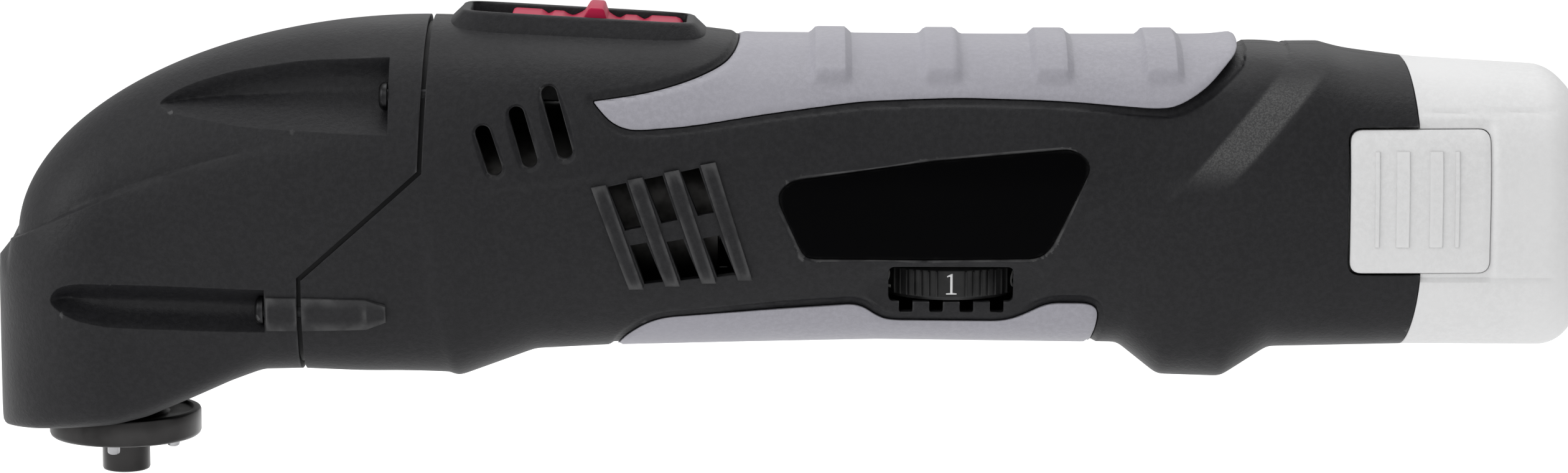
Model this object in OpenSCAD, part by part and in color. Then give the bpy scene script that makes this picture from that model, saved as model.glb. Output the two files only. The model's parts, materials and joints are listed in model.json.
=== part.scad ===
// Cordless oscillating multi-tool with a slide-in battery pack.
// +X runs along the tool towards the battery, +Z is up, and the origin is on the output
// spindle's axis at the underside of its flange.

/* [Lengths along the tool] */
// Radius of the head's round nose, about the spindle axis
head_r = 23.3; // [21:0.1:29]
// Spindle axis to the lower part of the joint between head and body
neck_len = 34.5; // [33:0.5:43]
// Run of the sloping part of that joint
shoulder_len = 22; // [18:0.5:27]
// Upper part of the joint to the front of the upper grip
motor_zone_len = 58.5; // [56:0.5:72]
// Length of the upper grip
grip_len = 90; // [72:1:110]
// Upper grip to the rear edge of the housing
tail_len = 31.6; // [27:0.5:40]
// Rear edge of the housing to the end of the battery pack
pack_len = 30.1; // [26:0.5:38]

/* [Heights] */
// Height of the body at the head joint
body_top = 78; // [76:0.5:90]
// Height of the motor shaft's axis
motor_z = 44; // [42:0.5:47]
// Height of the upper grip
grip_top = 74; // [72:0.5:82]
// Height of the underside along the grip
grip_bottom = 17.5; // [12:0.5:19]

/* [Widths] */
// Greatest half width of the body, at the motor
body_half_w = 27.5; // [26:0.5:34]
// Half width at the waist, where the fingers close
waist_half_w = 22.5; // [21.5:0.5:28]

/* [Shells] */
// Wall of the moulded housing
wall = 2.8; // [2:0.1:3.4]
// Thickness of the soft grip layers
grip_t = 1; // [0.6:0.1:1.8]
// Thickness of the badges
badge_t = 0.6; // [0.4:0.1:1]
// Height of the upper grip's ribs
rib_h = 1.15; // [0.5:0.05:2]
// Seam between neighbouring moulded pieces
seam = 0.35; // [0.2:0.05:0.6]
// Height that the switch bezel stands above the body
bezel_h = 1.8; // [1:0.1:3]

/* [Drive] */
// Radius of the output spindle
spindle_r = 5; // [4:0.1:6]
// Radius of the tool flange
flange_r = 14; // [12:0.1:17]
// Thickness of the tool flange
flange_t = 5; // [3:0.1:6]
// Radius of the pilot boss under the flange
boss_r = 4.4; // [3.6:0.1:5.3]
// Length of the pilot boss
boss_len = 6.5; // [4:0.1:8]
// Radius of the tapped hole for the accessory screw
screw_hole_r = 2.5; // [2:0.1:3]
// Depth of that hole
screw_hole_len = 16; // [10:0.5:20]
// Circle of the four drive pins
pin_circle_d = 18; // [16:0.1:21]
// Radius of a drive pin
pin_r = 1.15; // [0.9:0.05:1.4]
// Length that a drive pin stands out
pin_len = 2; // [1:0.1:3]
// Throw of the eccentric pin
throw = 0.75; // [0.4:0.05:1]
// Swing of the spindle to each side, in degrees
swing = 1.6; // [1:0.1:2]
// Spindle axis to the middle of the eccentric bearing
lever_len = 27; // [26:0.1:28]
// Outer radius of the eccentric bearing
ecc_r = 5; // [4:0.1:5.2]
// Radius of the motor shaft
shaft_r = 2.5; // [2:0.1:3]
// Outer radius of the motor
motor_r = 18; // [15:0.1:19]
// Length of the motor's can
motor_len = 52; // [44:0.5:53]

/* [Battery and controls] */
// Diameter of one cell
cell_d = 18.3; // [16:0.1:19]
// Length of one cell
cell_len = 65; // [55:0.5:68]
// Wall of the battery pack
pack_wall = 1.6; // [1.2:0.1:2]
// Depth that a battery latch is pressed in
latch_travel = 1.8; // [1:0.1:2]
// Length of the slide switch's button
slider_len = 31.4; // [26:0.1:34]
// Half width of the button
slider_half_w = 6.4; // [5:0.1:8]
// Travel of the button from off to on
slider_travel = 6.9; // [4:0.1:9]
// Radius of the speed wheel
wheel_r = 14; // [12:0.1:15]
// Thickness of the speed wheel
wheel_t = 6.4; // [5:0.1:7]

/* [Clearances] */
// Radial clearance of a running fit
run_fit = 0.03; // [0.01:0.01:0.1]
// Clearance between pieces that slide past each other
slide_gap = 0.3; // [0.2:0.05:0.5]

/* [Hidden] */
$fn = 48;
ring_n = 24;
eps = 0.01;
layer_gap = 0.02;
far = 60;

// Stations along X
neck_x = neck_len;
shoulder_x = neck_x + shoulder_len;
grip_x = shoulder_x + motor_zone_len;
tail_x = grip_x + grip_len;
tail_end = tail_x + tail_len;
pack_end = tail_end + pack_len;
bezel_x = shoulder_x + 4.5;
bezel_end = grip_x - 7;
pack_corner_r = 7;

// Battery bay: three cells in a triangle set its radius, and the tail is built round it
cell_pitch = cell_d + 0.3;
cell_ring_r = cell_pitch / sqrt(3);
stem_r = cell_ring_r + cell_d / 2 + 0.3 + pack_wall;
bay_r = stem_r + slide_gap + 0.1;
bay_z = 43.4;
bay_x = tail_end - 46;
tail_half_h = bay_r + wall + 0.9;
tail_half_w = bay_r + wall + 1;

// Heights where the body is widest, upper and lower edges, half widths and squareness, by X
mid_line = [
    [-head_r, 30], [0, 35], [neck_x, 42], [shoulder_x, 45], [grip_x, 46.5],
    [tail_x - 20, 45.5], [tail_x + 8, bay_z], [pack_end, bay_z]
];
top_line = [
    [shoulder_x, body_top], [bezel_x, body_top - 0.1], [bezel_end, grip_top + 1.1],
    [grip_x - 3, grip_top - grip_t], [tail_x, grip_top - grip_t - 0.9],
    [tail_x + 8, bay_z + tail_half_h + 3], [tail_x + 20, bay_z + tail_half_h + 0.6],
    [tail_end, bay_z + tail_half_h], [pack_end, bay_z + tail_half_h - 2.1]
];
bottom_line = [
    [-head_r, 4.4], [14, 9.7], [24, 11.4], [neck_x, 12.6], [shoulder_x + 5, 11.2],
    [shoulder_x + 20, grip_bottom - 1.8], [grip_x + 23, grip_bottom + 0.5], [tail_x - 22, grip_bottom],
    [tail_x - 14.6, 11.6], [tail_x - 3, 11.2], [tail_x + 5.4, 16.6],
    [tail_end, bay_z - tail_half_h + 0.2], [pack_end, bay_z - tail_half_h + 0.2]
];
width_line = [
    [0, head_r], [neck_x + 5, body_half_w - 1.4], [shoulder_x + 6, body_half_w],
    [grip_x - 24, body_half_w - 2.4], [grip_x + 25, waist_half_w], [tail_x - 25, waist_half_w + 0.6],
    [tail_x, tail_half_w], [tail_end, tail_half_w], [pack_end, tail_half_w - 1.2]
];
top_power = [[0, 2.1], [neck_x, 2.25], [grip_x, 2.5], [tail_end, 2.8], [pack_end, 3]];
bottom_power = [[0, 7], [neck_x - 10, 4], [shoulder_x, 2.7], [grip_x, 2.6], [tail_end, 2.8], [pack_end, 3]];

// The head's top edge is a quarter of an ellipse that starts on the nose's ledge
nose_ledge = 2.8;
nose_z = 37.4;
function dome_z(x) =
    let (u = (shoulder_x - x) / (shoulder_x + head_r - nose_ledge))
    nose_z + (body_top - nose_z) * pow(max(0, 1 - u * u), 0.53);
function top_z(x) =
    x < nose_ledge - head_r ? nose_z - 3.5 * (nose_ledge - head_r - x) / nose_ledge :
    x < shoulder_x ? dome_z(x) : lookup(x, top_line);
function bottom_z(x) = lookup(x, bottom_line);
function mid_z(x) = min(lookup(x, mid_line), top_z(x) - 4);
function half_w(x, grow) =
    x < 0 ? sqrt(max(0, pow(head_r + grow, 2) - x * x)) : lookup(x, width_line) + grow;

// Rounding of the pack's end: how far the section shrinks near the end
function end_inset(x, grow) =
    let (r = pack_corner_r, d = x - (pack_end + grow - r))
    d <= 0 ? 0 : r - sqrt(max(0, r * r - d * d));
function signed_power(v, e) = sign(v) * pow(abs(v), e);
function ring(x, grow, first, last, ribbed = false) = [
    for (i = [first : last])
        let (
            a = 360 * i / ring_n,
            up = sin(a) >= 0,
            g = grow - end_inset(x, grow) + (ribbed && sin(a) > 0.7 ? rib_lift(x) : 0),
            h = (up ? top_z(x) - mid_z(x) : mid_z(x) - bottom_z(x)) + g,
            p = 2 / lookup(x, up ? top_power : bottom_power)
        )
        [x, half_w(x, g) * signed_power(cos(a), p), mid_z(x) + h * signed_power(sin(a), p)]
];

// The four ribs across the upper grip
rib_first = grip_x + 15.5;
rib_pitch = (grip_len - 27) / 3.15;
rib_top_w = 5.4;
rib_foot_w = 8.2;
function rib_lift(x) = rib_h * max([for (i = [0 : 3])
    lookup(abs(x - rib_first - rib_pitch * i), [[rib_top_w / 2, 1], [rib_foot_w / 2, 0]])]);
rib_edges = [-rib_foot_w / 2, -rib_top_w / 2, rib_top_w / 2, rib_foot_w / 2];
grip_stations = concat(
    [bezel_end - 20, bezel_end, grip_x - 3],
    [for (i = [0 : 3], e = rib_edges) rib_first + rib_pitch * i + e],
    [tail_x - 14.6, tail_x + 5.4]
);

// X of each ring: round the nose by angle, then at the places where an outline turns
function body_stations(grow) = concat(
    [for (t = [14, 34, 54, 74]) -(head_r + grow) * cos(t)],
    [2, 14, neck_x, shoulder_x, shoulder_x + 20, bezel_end, grip_x - 3, grip_x + 25,
     tail_x - 22, tail_x - 14.6, tail_x - 3, tail_x + 5.4, tail_x + 20, tail_end]
);
function pack_stations(grow) = concat(
    [tail_end, (tail_end + pack_end - pack_corner_r) / 2],
    [for (t = [0, 30, 50, 66, 80]) pack_end + grow - pack_corner_r + pack_corner_r * sin(t)]
);

// A closed solid through rings of points: side -1 is its near half, 1 its far half, 0 both
module loft(stations, grow, side = 0, ribbed = false) {
    first = side == 0 ? 0 : -side * ring_n / 4;
    n = side == 0 ? ring_n : ring_n / 2 + 1;
    points = [for (x = stations) each ring(x, grow, first, first + n - 1, ribbed)];
    last = len(stations) - 1;
    sides = [
        for (s = [0 : last - 1], i = [0 : n - 1])
            let (j = (i + 1) % n, a = s * n + i, b = s * n + j)
            each [[a, a + n, b + n], [a, b + n, b]]
    ];
    front = [[for (i = [0 : n - 1]) i]];
    back = [[for (i = [n - 1 : -1 : 0]) last * n + i]];
    polyhedron(points, concat(sides, front, back), convexity = 6);
}
module body_form(grow = 0) {
    loft(body_stations(grow), grow);
}
module half_form(side, grow = 0) {
    loft(body_stations(grow), grow, side);
}
module pack_form(grow = 0) {
    loft(pack_stations(grow), grow);
}

// A moulded shell is one closed mesh, whose size is left as it is
module moulded() {
    resize([0, 0, 0]) children();
}

// Outlines seen from the side are extruded across the tool, from y0 to y1
module across(y0, y1) {
    translate([0, y1, 0]) rotate([90, 0, 0]) linear_extrude(y1 - y0) children();
}
module along_x(x, y, z) {
    translate([x, y, z]) rotate([0, 90, 0]) children();
}
module both_sides() {
    children();
    mirror([0, 1, 0]) children();
}
module tube(r_out, r_in, len) {
    difference() {
        cylinder(r = r_out, h = len);
        translate([0, 0, -eps]) cylinder(r = r_in, h = len + 2 * eps);
    }
}

// ---- Outlines shared by a piece and the recess it sits in ----
module head_side(gap) {
    polygon([
        [-far, -far], [neck_x - gap, -far], [neck_x - gap, 34], [shoulder_x - gap, 54.5],
        [shoulder_x - gap, 2 * far], [-far, 2 * far]
    ]);
}
module top_grip_side(gap) {
    offset(delta = -gap) polygon([
        [grip_x - 26.5, 64.2], [grip_x - 23.5, 61], [grip_x - 19.7, 60.2], [grip_x - 10, 61],
        [grip_x + 5, 63.1], [grip_x + 22, 65], [grip_x + 39, 65.6], [tail_x - 34, 65.1],
        [tail_x - 13, 63.8], [tail_x - 7.5, 67.5], [tail_x - 2, 75.5], [tail_x - 1.5, 90],
        [grip_x + 0.4, 90], [grip_x + 0.4, 72], [grip_x - 3.6, 69.6], [grip_x - 17.7, 66.2]
    ]);
}
module lower_grip_side(gap) {
    offset(delta = -gap) polygon([
        [grip_x - 26, 10], [grip_x - 22.3, 21], [grip_x - 18.3, 24.1], [grip_x - 14.7, 25.4],
        [grip_x + 6.6, 27], [grip_x + 21.5, 27.9], [grip_x + 25.5, 24.6], [grip_x + 48.2, 24.3],
        [tail_x - 35.2, 28.1], [tail_x - 28.1, 28.1], [tail_x - 26.6, 27], [tail_x - 28.5, 22.3],
        [tail_x - 29.5, 10]
    ]);
}
module badge_side(gap) {
    offset(delta = -gap) polygon([
        [grip_x + 6.3, 47.8], [grip_x + 8.4, 50.7], [grip_x + 58.7, 56.3], [grip_x + 62.2, 53.8],
        [grip_x + 54.3, 37.9], [grip_x + 52.7, 36.9], [grip_x + 11.2, 36.9]
    ]);
}

// ---- Switch zone: a frame that follows the sloping top ----
slot_len = slider_len + slider_travel + 2 * slide_gap;
slot_half_w = slider_half_w + slide_gap;
slot_x = (bezel_x + bezel_end) / 2;
slot_slope = atan((body_top - 0.1 - grip_top - 1.1) / (bezel_end - bezel_x));
button_x = slider_travel / 2;
module on_switch() {
    translate([slot_x, 0, lookup(slot_x, top_line)]) rotate([0, slot_slope, 0]) children();
}
module switch_slot(depth) {
    on_switch() translate([-slot_len / 2, -slot_half_w, -depth])
        cube([slot_len, 2 * slot_half_w, depth + 10]);
}

// ---- Speed wheel ----
wheel_x = grip_x + 37.3;
wheel_y = 0.6 - (waist_half_w * 0.94 - wheel_r);
wheel_z = 28.4;
wheel_shaft_r = 3;
knurl_n = 44;
module wheel_window() {
    translate([wheel_x - 11.2, -far, wheel_z - 0.4]) cube([22.4, far + wheel_y, wheel_t + 0.8]);
    translate([wheel_x, wheel_y, wheel_z - 0.4]) cylinder(r = wheel_r + 0.4, h = wheel_t + 0.8);
}

// ---- Screws: [x, y, z] of the head's underside ----
head_screw_len = 20;
upper_screw = [shoulder_x - 6.6, 18.2, 65];
lower_screw = [neck_x - 7.3, 21.6, 27.4];
pocket_r = 4.2;
module head_pocket(place, len, r) {
    along_x(place[0] - len, -place[1] - 1.3, place[2]) cylinder(r = r, h = len, $fn = 14);
}
module head_pockets(extra) {
    both_sides() {
        head_pocket(upper_screw, 38 + extra, pocket_r + extra);
        head_pocket(lower_screw, 37 + extra, pocket_r + extra);
    }
}
module head_screw_holes(r) {
    both_sides() {
        along_x(upper_screw[0] - 1, -upper_screw[1], upper_screw[2]) cylinder(r = r, h = 22, $fn = 8);
        along_x(lower_screw[0] - 1, -lower_screw[1], lower_screw[2]) cylinder(r = r, h = 22, $fn = 8);
    }
}
case_screw_r = 1.5;
case_screw_places = [
    [shoulder_x + 6, 18.2], [grip_x + 5, 64.5], [grip_x + 5, 24.5], [bay_x - 5.5, 64.5], [bay_x - 5.5, 21]
];
case_boss_r = 3.4;
case_boss_half = 13;
module case_bosses(r, half) {
    for (p = case_screw_places)
        translate([p[0], half, p[1]]) rotate([90, 0, 0]) cylinder(r = r, h = 2 * half, $fn = 12);
}

// ---- Motor and gear case positions ----
case_r = 19;
case_end = neck_x + 5.5;
motor_x = case_end + 18;
motor_end = motor_x + motor_len;

// Cross ribs inside the housing hold the gear case, the motor and the battery
rib_t = 2;
module inside_ribs() {
    frame_rib(neck_x + 1.5, case_r, motor_z);
    frame_rib(motor_end - 6, motor_r, motor_z);
    frame_rib(bay_x + 3, bay_r, bay_z);
    case_bosses(case_boss_r, 30);
}
module frame_rib(x, r, z) {
    difference() {
        translate([x, -far, -far]) cube([rib_t, 2 * far, 3 * far]);
        along_x(x - 1, 0, z) cylinder(r = r + 0.05, h = rib_t + 2, $fn = 24);
    }
}

// ---- Vents ----
slot_tops = [[67.9, 59.9], [73.9, 63.1], [79.7, 66.5]];
slot_runs = [[2.1, -6.1], [2.4, -7.9], [2.9, -9.9]];
vent_r = 1.4;
louvre_n = 3;
louvre_pitch = 6.6;
louvre_lean = 17;
louvre_w = 3.1;
vent_base_x = shoulder_x - 56.5;
module vents() {
    translate([vent_base_x, 0, 0]) {
        for (i = [0 : len(slot_tops) - 1]) hull() {
            translate(slot_tops[i]) circle(r = vent_r, $fn = 8);
            translate(slot_tops[i] + slot_runs[i]) circle(r = vent_r, $fn = 8);
        }
        for (i = [0 : louvre_n - 1]) {
            translate([91.9 + louvre_pitch * i, 50.5 + 1.3 * i]) rotate(louvre_lean) louvre(8.2);
            translate([95.7 + louvre_pitch * i, 39.8 + 1.3 * i]) rotate(louvre_lean) louvre(7.8);
        }
    }
}
module louvre(len) {
    translate([-louvre_w / 2, -len]) square([louvre_w, len]);
}

// ---- Battery latches ----
notch_x = tail_end - 12.8;
notch_z0 = 34.5;
notch_z1 = 60.5;
latch_end = tail_end + 12.5;
latch_t = 2;
module latch_box(gap, y0, y1) {
    translate([notch_x + gap, y0, notch_z0 + gap])
        cube([latch_end - notch_x - 2 * gap, y1 - y0, notch_z1 - notch_z0 - 2 * gap]);
}

// ======== Housing ========
module housing_half(side) {
    difference() {
        half_form(side);
        difference() {
            half_form(side, -wall);
            inside_ribs();
        }
        // Joint with the head, and the open rear
        across(-far, far) head_side(0);
        along_x(bay_x, 0, bay_z) cylinder(r = bay_r, h = tail_end - bay_x + 6, $fn = 24);
        across(-far, far) vents();
        switch_slot(20);
        wheel_window();
        // The battery latches sit in a notch in each side
        latch_box(-slide_gap, -far, far);
        case_bosses(case_screw_r + 0.1, far);
        head_screw_holes(1.7);
    }
}
module housing_near() {
    color("#2b2b2d") moulded() housing_half(-1);
}
module housing_far() {
    color("#2b2b2d") moulded() difference() {
        housing_half(1);
        translate([0, far, 0]) case_bosses(3, far - case_boss_half);
    }
}

// ======== Head cover ========
module head_cover() {
    color("#2c2c2e") moulded() difference() {
        intersection() {
            body_form();
            across(-far, far) head_side(seam);
        }
        difference() {
            body_form(-wall);
            head_pockets(wall);
        }
        head_pockets(0);
        head_screw_holes(1.7);
        translate([0, 0, -1]) cylinder(r = neck_r + 2.3, h = 16, $fn = 32);
    }
}

// ======== Grips, bezel and badges ========
module top_grip() {
    color("#9a9aa2") moulded() difference() {
        intersection() {
            loft(grip_stations, grip_t, ribbed = true);
            across(-far, far) top_grip_side(0);
        }
        body_form(layer_gap);
    }
}
module lower_grip() {
    color("#9a9aa2") moulded() difference() {
        intersection() {
            body_form(grip_t);
            across(-far, far) lower_grip_side(0);
        }
        body_form(layer_gap);
    }
}
module switch_bezel() {
    color("#1d1d1f") moulded() difference() {
        intersection() {
            body_form(bezel_h);
            translate([slot_x, 0, mid_z(slot_x)]) linear_extrude(far)
                offset(r = 4, $fn = 16) square([bezel_end - bezel_x - 8, 19], center = true);
        }
        body_form(layer_gap);
        switch_slot(20);
    }
}
module badge(side) {
    color("#08080a") moulded() difference() {
        intersection() {
            half_form(side, badge_t);
            across(-far, far) badge_side(0);
        }
        half_form(side, layer_gap);
    }
}
module badge_near() {
    badge(-1);
}
module badge_far() {
    badge(1);
}

// ======== Fasteners ========
module cap_screw(shank_r, len, cap_r, cap_h) {
    difference() {
        union() {
            cylinder(r = shank_r, h = len);
            translate([0, 0, -cap_h]) cylinder(r = cap_r, h = cap_h);
        }
        translate([0, 0, -cap_h - eps]) cylinder(r = cap_r * 0.45, h = cap_h * 0.7, $fn = 6);
    }
}
module head_screws() {
    color("#3a3a3c") both_sides() {
        along_x(upper_screw[0], -upper_screw[1], upper_screw[2]) cap_screw(1.5, head_screw_len, 2.5, 2);
        along_x(lower_screw[0], -lower_screw[1], lower_screw[2]) cap_screw(1.5, head_screw_len, 2.5, 2);
    }
}
module housing_screws() {
    color("#3a3a3c") for (p = case_screw_places)
        translate([p[0], case_boss_half, p[1]]) rotate([90, 0, 0]) cap_screw(case_screw_r, 20, 2.8, 2);
}

// ======== Gear case and bearings ========
lower_bearing_r = spindle_r + 4.5;
column_r = lower_bearing_r + 3;
column_bottom = 12.6;
lower_bearing_z = column_bottom + 3;
lower_bearing_h = 6;
lever_half_h = 3.5;
hub_r = spindle_r + 3.4;
pocket_half_h = lever_half_h + 1;
upper_bearing_z = motor_z + pocket_half_h + 1;
upper_bearing_h = 4.5;
upper_bearing_r = spindle_r + 1.8;
shaft_bearing_r = 8;
shaft_bearing_h = 5;
cavity_half_h = ecc_r + throw + 1;
weight_r = 8;
weight_t = 2.2;
barrel_x = 10;
module gear_case() {
    color("silver") difference() {
        union() {
            translate([0, 0, column_bottom])
                cylinder(r = column_r, h = upper_bearing_z + 0.5 - column_bottom);
            translate([0, 0, upper_bearing_z]) cylinder(r = upper_bearing_r + 1.6, h = upper_bearing_h + 1);
            along_x(barrel_x, 0, motor_z) cylinder(r = case_r, h = case_end - barrel_x);
        }
        // Room for the lever, the eccentric and the counterweight
        translate([0, 0, motor_z - pocket_half_h]) cylinder(r = hub_r + 1, h = 2 * pocket_half_h);
        translate([0, -11.5, motor_z - pocket_half_h]) cube([barrel_x + 6, 23, 2 * pocket_half_h]);
        translate([barrel_x + 5, -12.5, motor_z - cavity_half_h])
            cube([case_end - 9.5 - barrel_x - 2, 25, 2 * cavity_half_h]);
        along_x(case_end - 10.5, 0, motor_z) cylinder(r = weight_r + 0.6, h = 4.5);
        along_x(case_end - 7, 0, motor_z) cylinder(r = shaft_r + 1.5, h = 8);
        along_x(case_end - shaft_bearing_h, 0, motor_z)
            cylinder(r = shaft_bearing_r, h = shaft_bearing_h + 1);
        translate([0, 0, column_bottom - 1])
            cylinder(r = lower_bearing_r, h = lower_bearing_z + lower_bearing_h - column_bottom + 1);
        translate([0, 0, column_bottom]) cylinder(r = spindle_r + 1.2, h = far);
        translate([0, 0, upper_bearing_z]) cylinder(r = upper_bearing_r, h = far);
    }
}
module lower_bearing() {
    color("#b8b8bc") translate([0, 0, lower_bearing_z])
        tube(lower_bearing_r, spindle_r + run_fit, lower_bearing_h);
}
module upper_bearing() {
    color("#b8b8bc") translate([0, 0, upper_bearing_z])
        tube(upper_bearing_r, spindle_r + run_fit, upper_bearing_h);
}
module shaft_bearing() {
    color("#b8b8bc") along_x(case_end - shaft_bearing_h, 0, motor_z)
        tube(shaft_bearing_r, shaft_r + run_fit, shaft_bearing_h);
}
module spindle_seal() {
    color("#303030") translate([0, 0, column_bottom])
        tube(lower_bearing_r, spindle_r + 0.08, lower_bearing_z - column_bottom);
}

// ======== Motor ========
can_t = 1.2;
magnet_t = 3.4;
armature_r = motor_r - can_t - magnet_t - 0.6;
commutator_r = 5.5;
bush_r = 4;
bush_len = 4;
// The can's two through bolts run above and below the armature
bolt_r = 1.5;
bolt_place = (armature_r + motor_r - can_t) / 2;
module through_bolts() {
    for (side = [-1, 1]) translate([side * bolt_place, 0, 0]) children();
}
module motor_can() {
    color("#8e9094") along_x(motor_x, 0, motor_z) difference() {
        cylinder(r = motor_r, h = motor_len);
        translate([0, 0, 2]) cylinder(r = motor_r - can_t, h = motor_len);
        translate([0, 0, -1]) cylinder(r = bush_r, h = 5);
        through_bolts() translate([0, 0, -1]) cylinder(r = bolt_r, h = 5);
    }
}
module front_bush() {
    color("#b08d4a") along_x(motor_x, 0, motor_z) tube(bush_r, shaft_r + run_fit, bush_len);
}
module rear_bush() {
    color("#b08d4a") along_x(motor_end - bush_len, 0, motor_z) tube(bush_r, shaft_r + run_fit, bush_len);
}
module motor_end_cap() {
    color("#26282c") along_x(motor_end - bush_len, 0, motor_z) difference() {
        cylinder(r = motor_r - can_t, h = bush_len);
        translate([0, 0, -1]) cylinder(r = bush_r, h = bush_len + 2);
        through_bolts() translate([0, 0, -1]) cylinder(r = bolt_r, h = bush_len + 2);
    }
}
module motor_magnets() {
    color("#3c3c40") along_x(motor_x + 6, 0, motor_z) difference() {
        tube(motor_r - can_t, motor_r - can_t - magnet_t, motor_len - 20);
        for (side = [-1, 1])
            translate([side * 20, 0, motor_len / 2]) cube([28, 2 * far, motor_len + 2], center = true);
    }
}
module brushes() {
    color("#2a2a2a") for (side = [-1, 1])
        translate([motor_end - 9, side * 9 - 3.3, motor_z - 2]) cube([4, 6.6, 4]);
}
module motor_screws() {
    color("#3a3a3c") along_x(motor_end, 0, motor_z)
        through_bolts() rotate([180, 0, 0]) cap_screw(bolt_r, motor_len - 0.5, 2.2, 1.6);
}
module motor_shaft() {
    color("#c4c4c8") union() {
        along_x(lever_len + 4, 0, motor_z) cylinder(r = shaft_r, h = motor_end + 3 - lever_len - 4);
        along_x(lever_len - 3.6, 0, motor_z + throw) cylinder(r = shaft_r - 0.5, h = 8);
    }
}
module armature() {
    color("#9a4f2c") along_x(motor_x + 5, 0, motor_z) difference() {
        union() {
            translate([0, 0, 4]) cylinder(r = armature_r, h = motor_len - 24);
            cylinder(r = armature_r - 2.5, h = motor_len - 16);
        }
        for (a = [0 : 72 : 288]) rotate(a)
            translate([armature_r - 4, -0.9, -1]) cube([6, 1.8, motor_len]);
        translate([0, 0, -1]) cylinder(r = shaft_r, h = motor_len);
    }
}
module commutator() {
    color("#b87333") along_x(motor_end - 9.5, 0, motor_z) tube(commutator_r, shaft_r, 5);
}
fan_r = motor_r - 0.8;
module fan() {
    color("#202226") along_x(case_end + 5, 0, motor_z) difference() {
        union() {
            cylinder(r = fan_r, h = 1.4);
            cylinder(r = shaft_r + 3, h = 9);
            for (a = [0 : 40 : 320]) rotate(a)
                translate([shaft_r + 2, -0.7, 0]) cube([fan_r - shaft_r - 3, 1.4, 8.5]);
        }
        translate([0, 0, -1]) cylinder(r = shaft_r, h = 12);
    }
}
module counterweight() {
    color("#8a7440") along_x(lever_len + 4.4, 0, motor_z) difference() {
        cylinder(r = weight_r, h = weight_t);
        translate([-2 * weight_r, -weight_r, -1])
            cube([2 * weight_r - shaft_r - 1, 2 * weight_r, weight_t + 2]);
        translate([0, 0, -1]) cylinder(r = shaft_r, h = weight_t + 2);
    }
}
module eccentric_bearing() {
    color("#c8c8cc") along_x(lever_len - 3, 0, motor_z + throw) tube(ecc_r, shaft_r - 0.5, 6);
}

// ======== Output spindle ========
fork_gap = ecc_r + throw + lever_len * sin(swing) + 0.15;
prong_w = 3;
lever_h = 2 * lever_half_h;
fork_half = fork_gap + prong_w;
fork_x = lever_len - 5.5;
fork_end = lever_len + 3;
neck_r = spindle_r + 2.2;
pin_angle = -8;
pin_seat = 3;
pin_shank_r = pin_r - 0.2;
pin_relief = 0.15;
pin_relief_h = 0.4;
spindle_top = upper_bearing_z + upper_bearing_h + 1.6;
module pin_places() {
    for (a = [0 : 90 : 270]) rotate(a + pin_angle) translate([pin_circle_d / 2, 0, 0]) children();
}
module spindle() {
    color("#3b3c3f") difference() {
        union() {
            cylinder(r = flange_r, h = flange_t);
            translate([0, 0, flange_t]) cylinder(r = neck_r, h = 5);
            cylinder(r = spindle_r, h = spindle_top);
            translate([0, 0, -boss_len]) cylinder(r = boss_r, h = boss_len + eps);
        }
        translate([0, 0, -boss_len - eps]) cylinder(r = screw_hole_r, h = screw_hole_len + eps);
        pin_places() translate([0, 0, -eps]) cylinder(r = pin_shank_r, h = pin_seat + eps);
        pin_places() translate([0, 0, -eps]) cylinder(r = pin_r + pin_relief, h = pin_relief_h + eps);
        translate([0, 0, spindle_top - 1.2]) tube(spindle_r + 1, spindle_r - 0.5, 0.8);
    }
}
module drive_pins() {
    color("#d6d7da") pin_places() union() {
        translate([0, 0, -pin_len]) cylinder(r = pin_r, h = pin_len);
        translate([0, 0, -eps]) cylinder(r = pin_shank_r, h = pin_seat + eps);
    }
}
module retaining_ring() {
    color("#6f7074") translate([0, 0, spindle_top - 1.2]) difference() {
        tube(spindle_r + 1.6, spindle_r - 0.5, 0.8);
        translate([2, -1.5, -1]) cube([10, 3, 3]);
    }
}
module fork_lever() {
    color("#77787c") translate([0, 0, motor_z - lever_h / 2]) difference() {
        linear_extrude(lever_h) union() {
            circle(r = hub_r);
            polygon([
                [0, -fork_half + 3], [fork_x, -fork_half], [fork_end, -fork_half], [fork_end, -fork_gap],
                [fork_x, -fork_gap], [fork_x, fork_gap], [fork_end, fork_gap], [fork_end, fork_half],
                [fork_x, fork_half], [0, fork_half - 3]
            ]);
        }
        translate([0, 0, -1]) cylinder(r = spindle_r, h = lever_h + 2);
        translate([spindle_r + 5, far / 2, lever_h / 2]) rotate([90, 0, 0]) cylinder(r = 1.5, h = far);
    }
}
module lever_screw() {
    color("#3a3a3c") translate([spindle_r + 5, 7.5, motor_z]) rotate([90, 0, 0]) cylinder(r = 1.5, h = 15);
}

// ======== Switch ========
// The button is a tray in the slot with a flange under the body, bumps and a thumb ridge
tray_bottom = -wall - 3;
tray_wall = 1.6;
tray_top = bezel_h - 0.9;
bump_n = 5;
bump_pitch = 2.6;
module slide_button() {
    color("#b4142f") on_switch() translate([button_x, 0, 0]) difference() {
        union() {
            bar(-slider_len / 2, slider_len, slider_half_w, tray_bottom, tray_top);
            bar(-5, 4, slider_half_w, 0, bezel_h + 2.2);
            for (i = [0 : bump_n - 1])
                bar(1 + bump_pitch * i, bump_pitch / 2, slider_half_w, 0, bezel_h - 0.2);
            bar(2 - slider_len / 2, slider_len - 4, slider_half_w + tray_wall, tray_bottom, -wall - 1.8);
        }
        bar(3 - slider_len / 2, slider_len - 6, slider_half_w - tray_wall, tray_bottom - 1, -1.5);
    }
}
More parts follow.
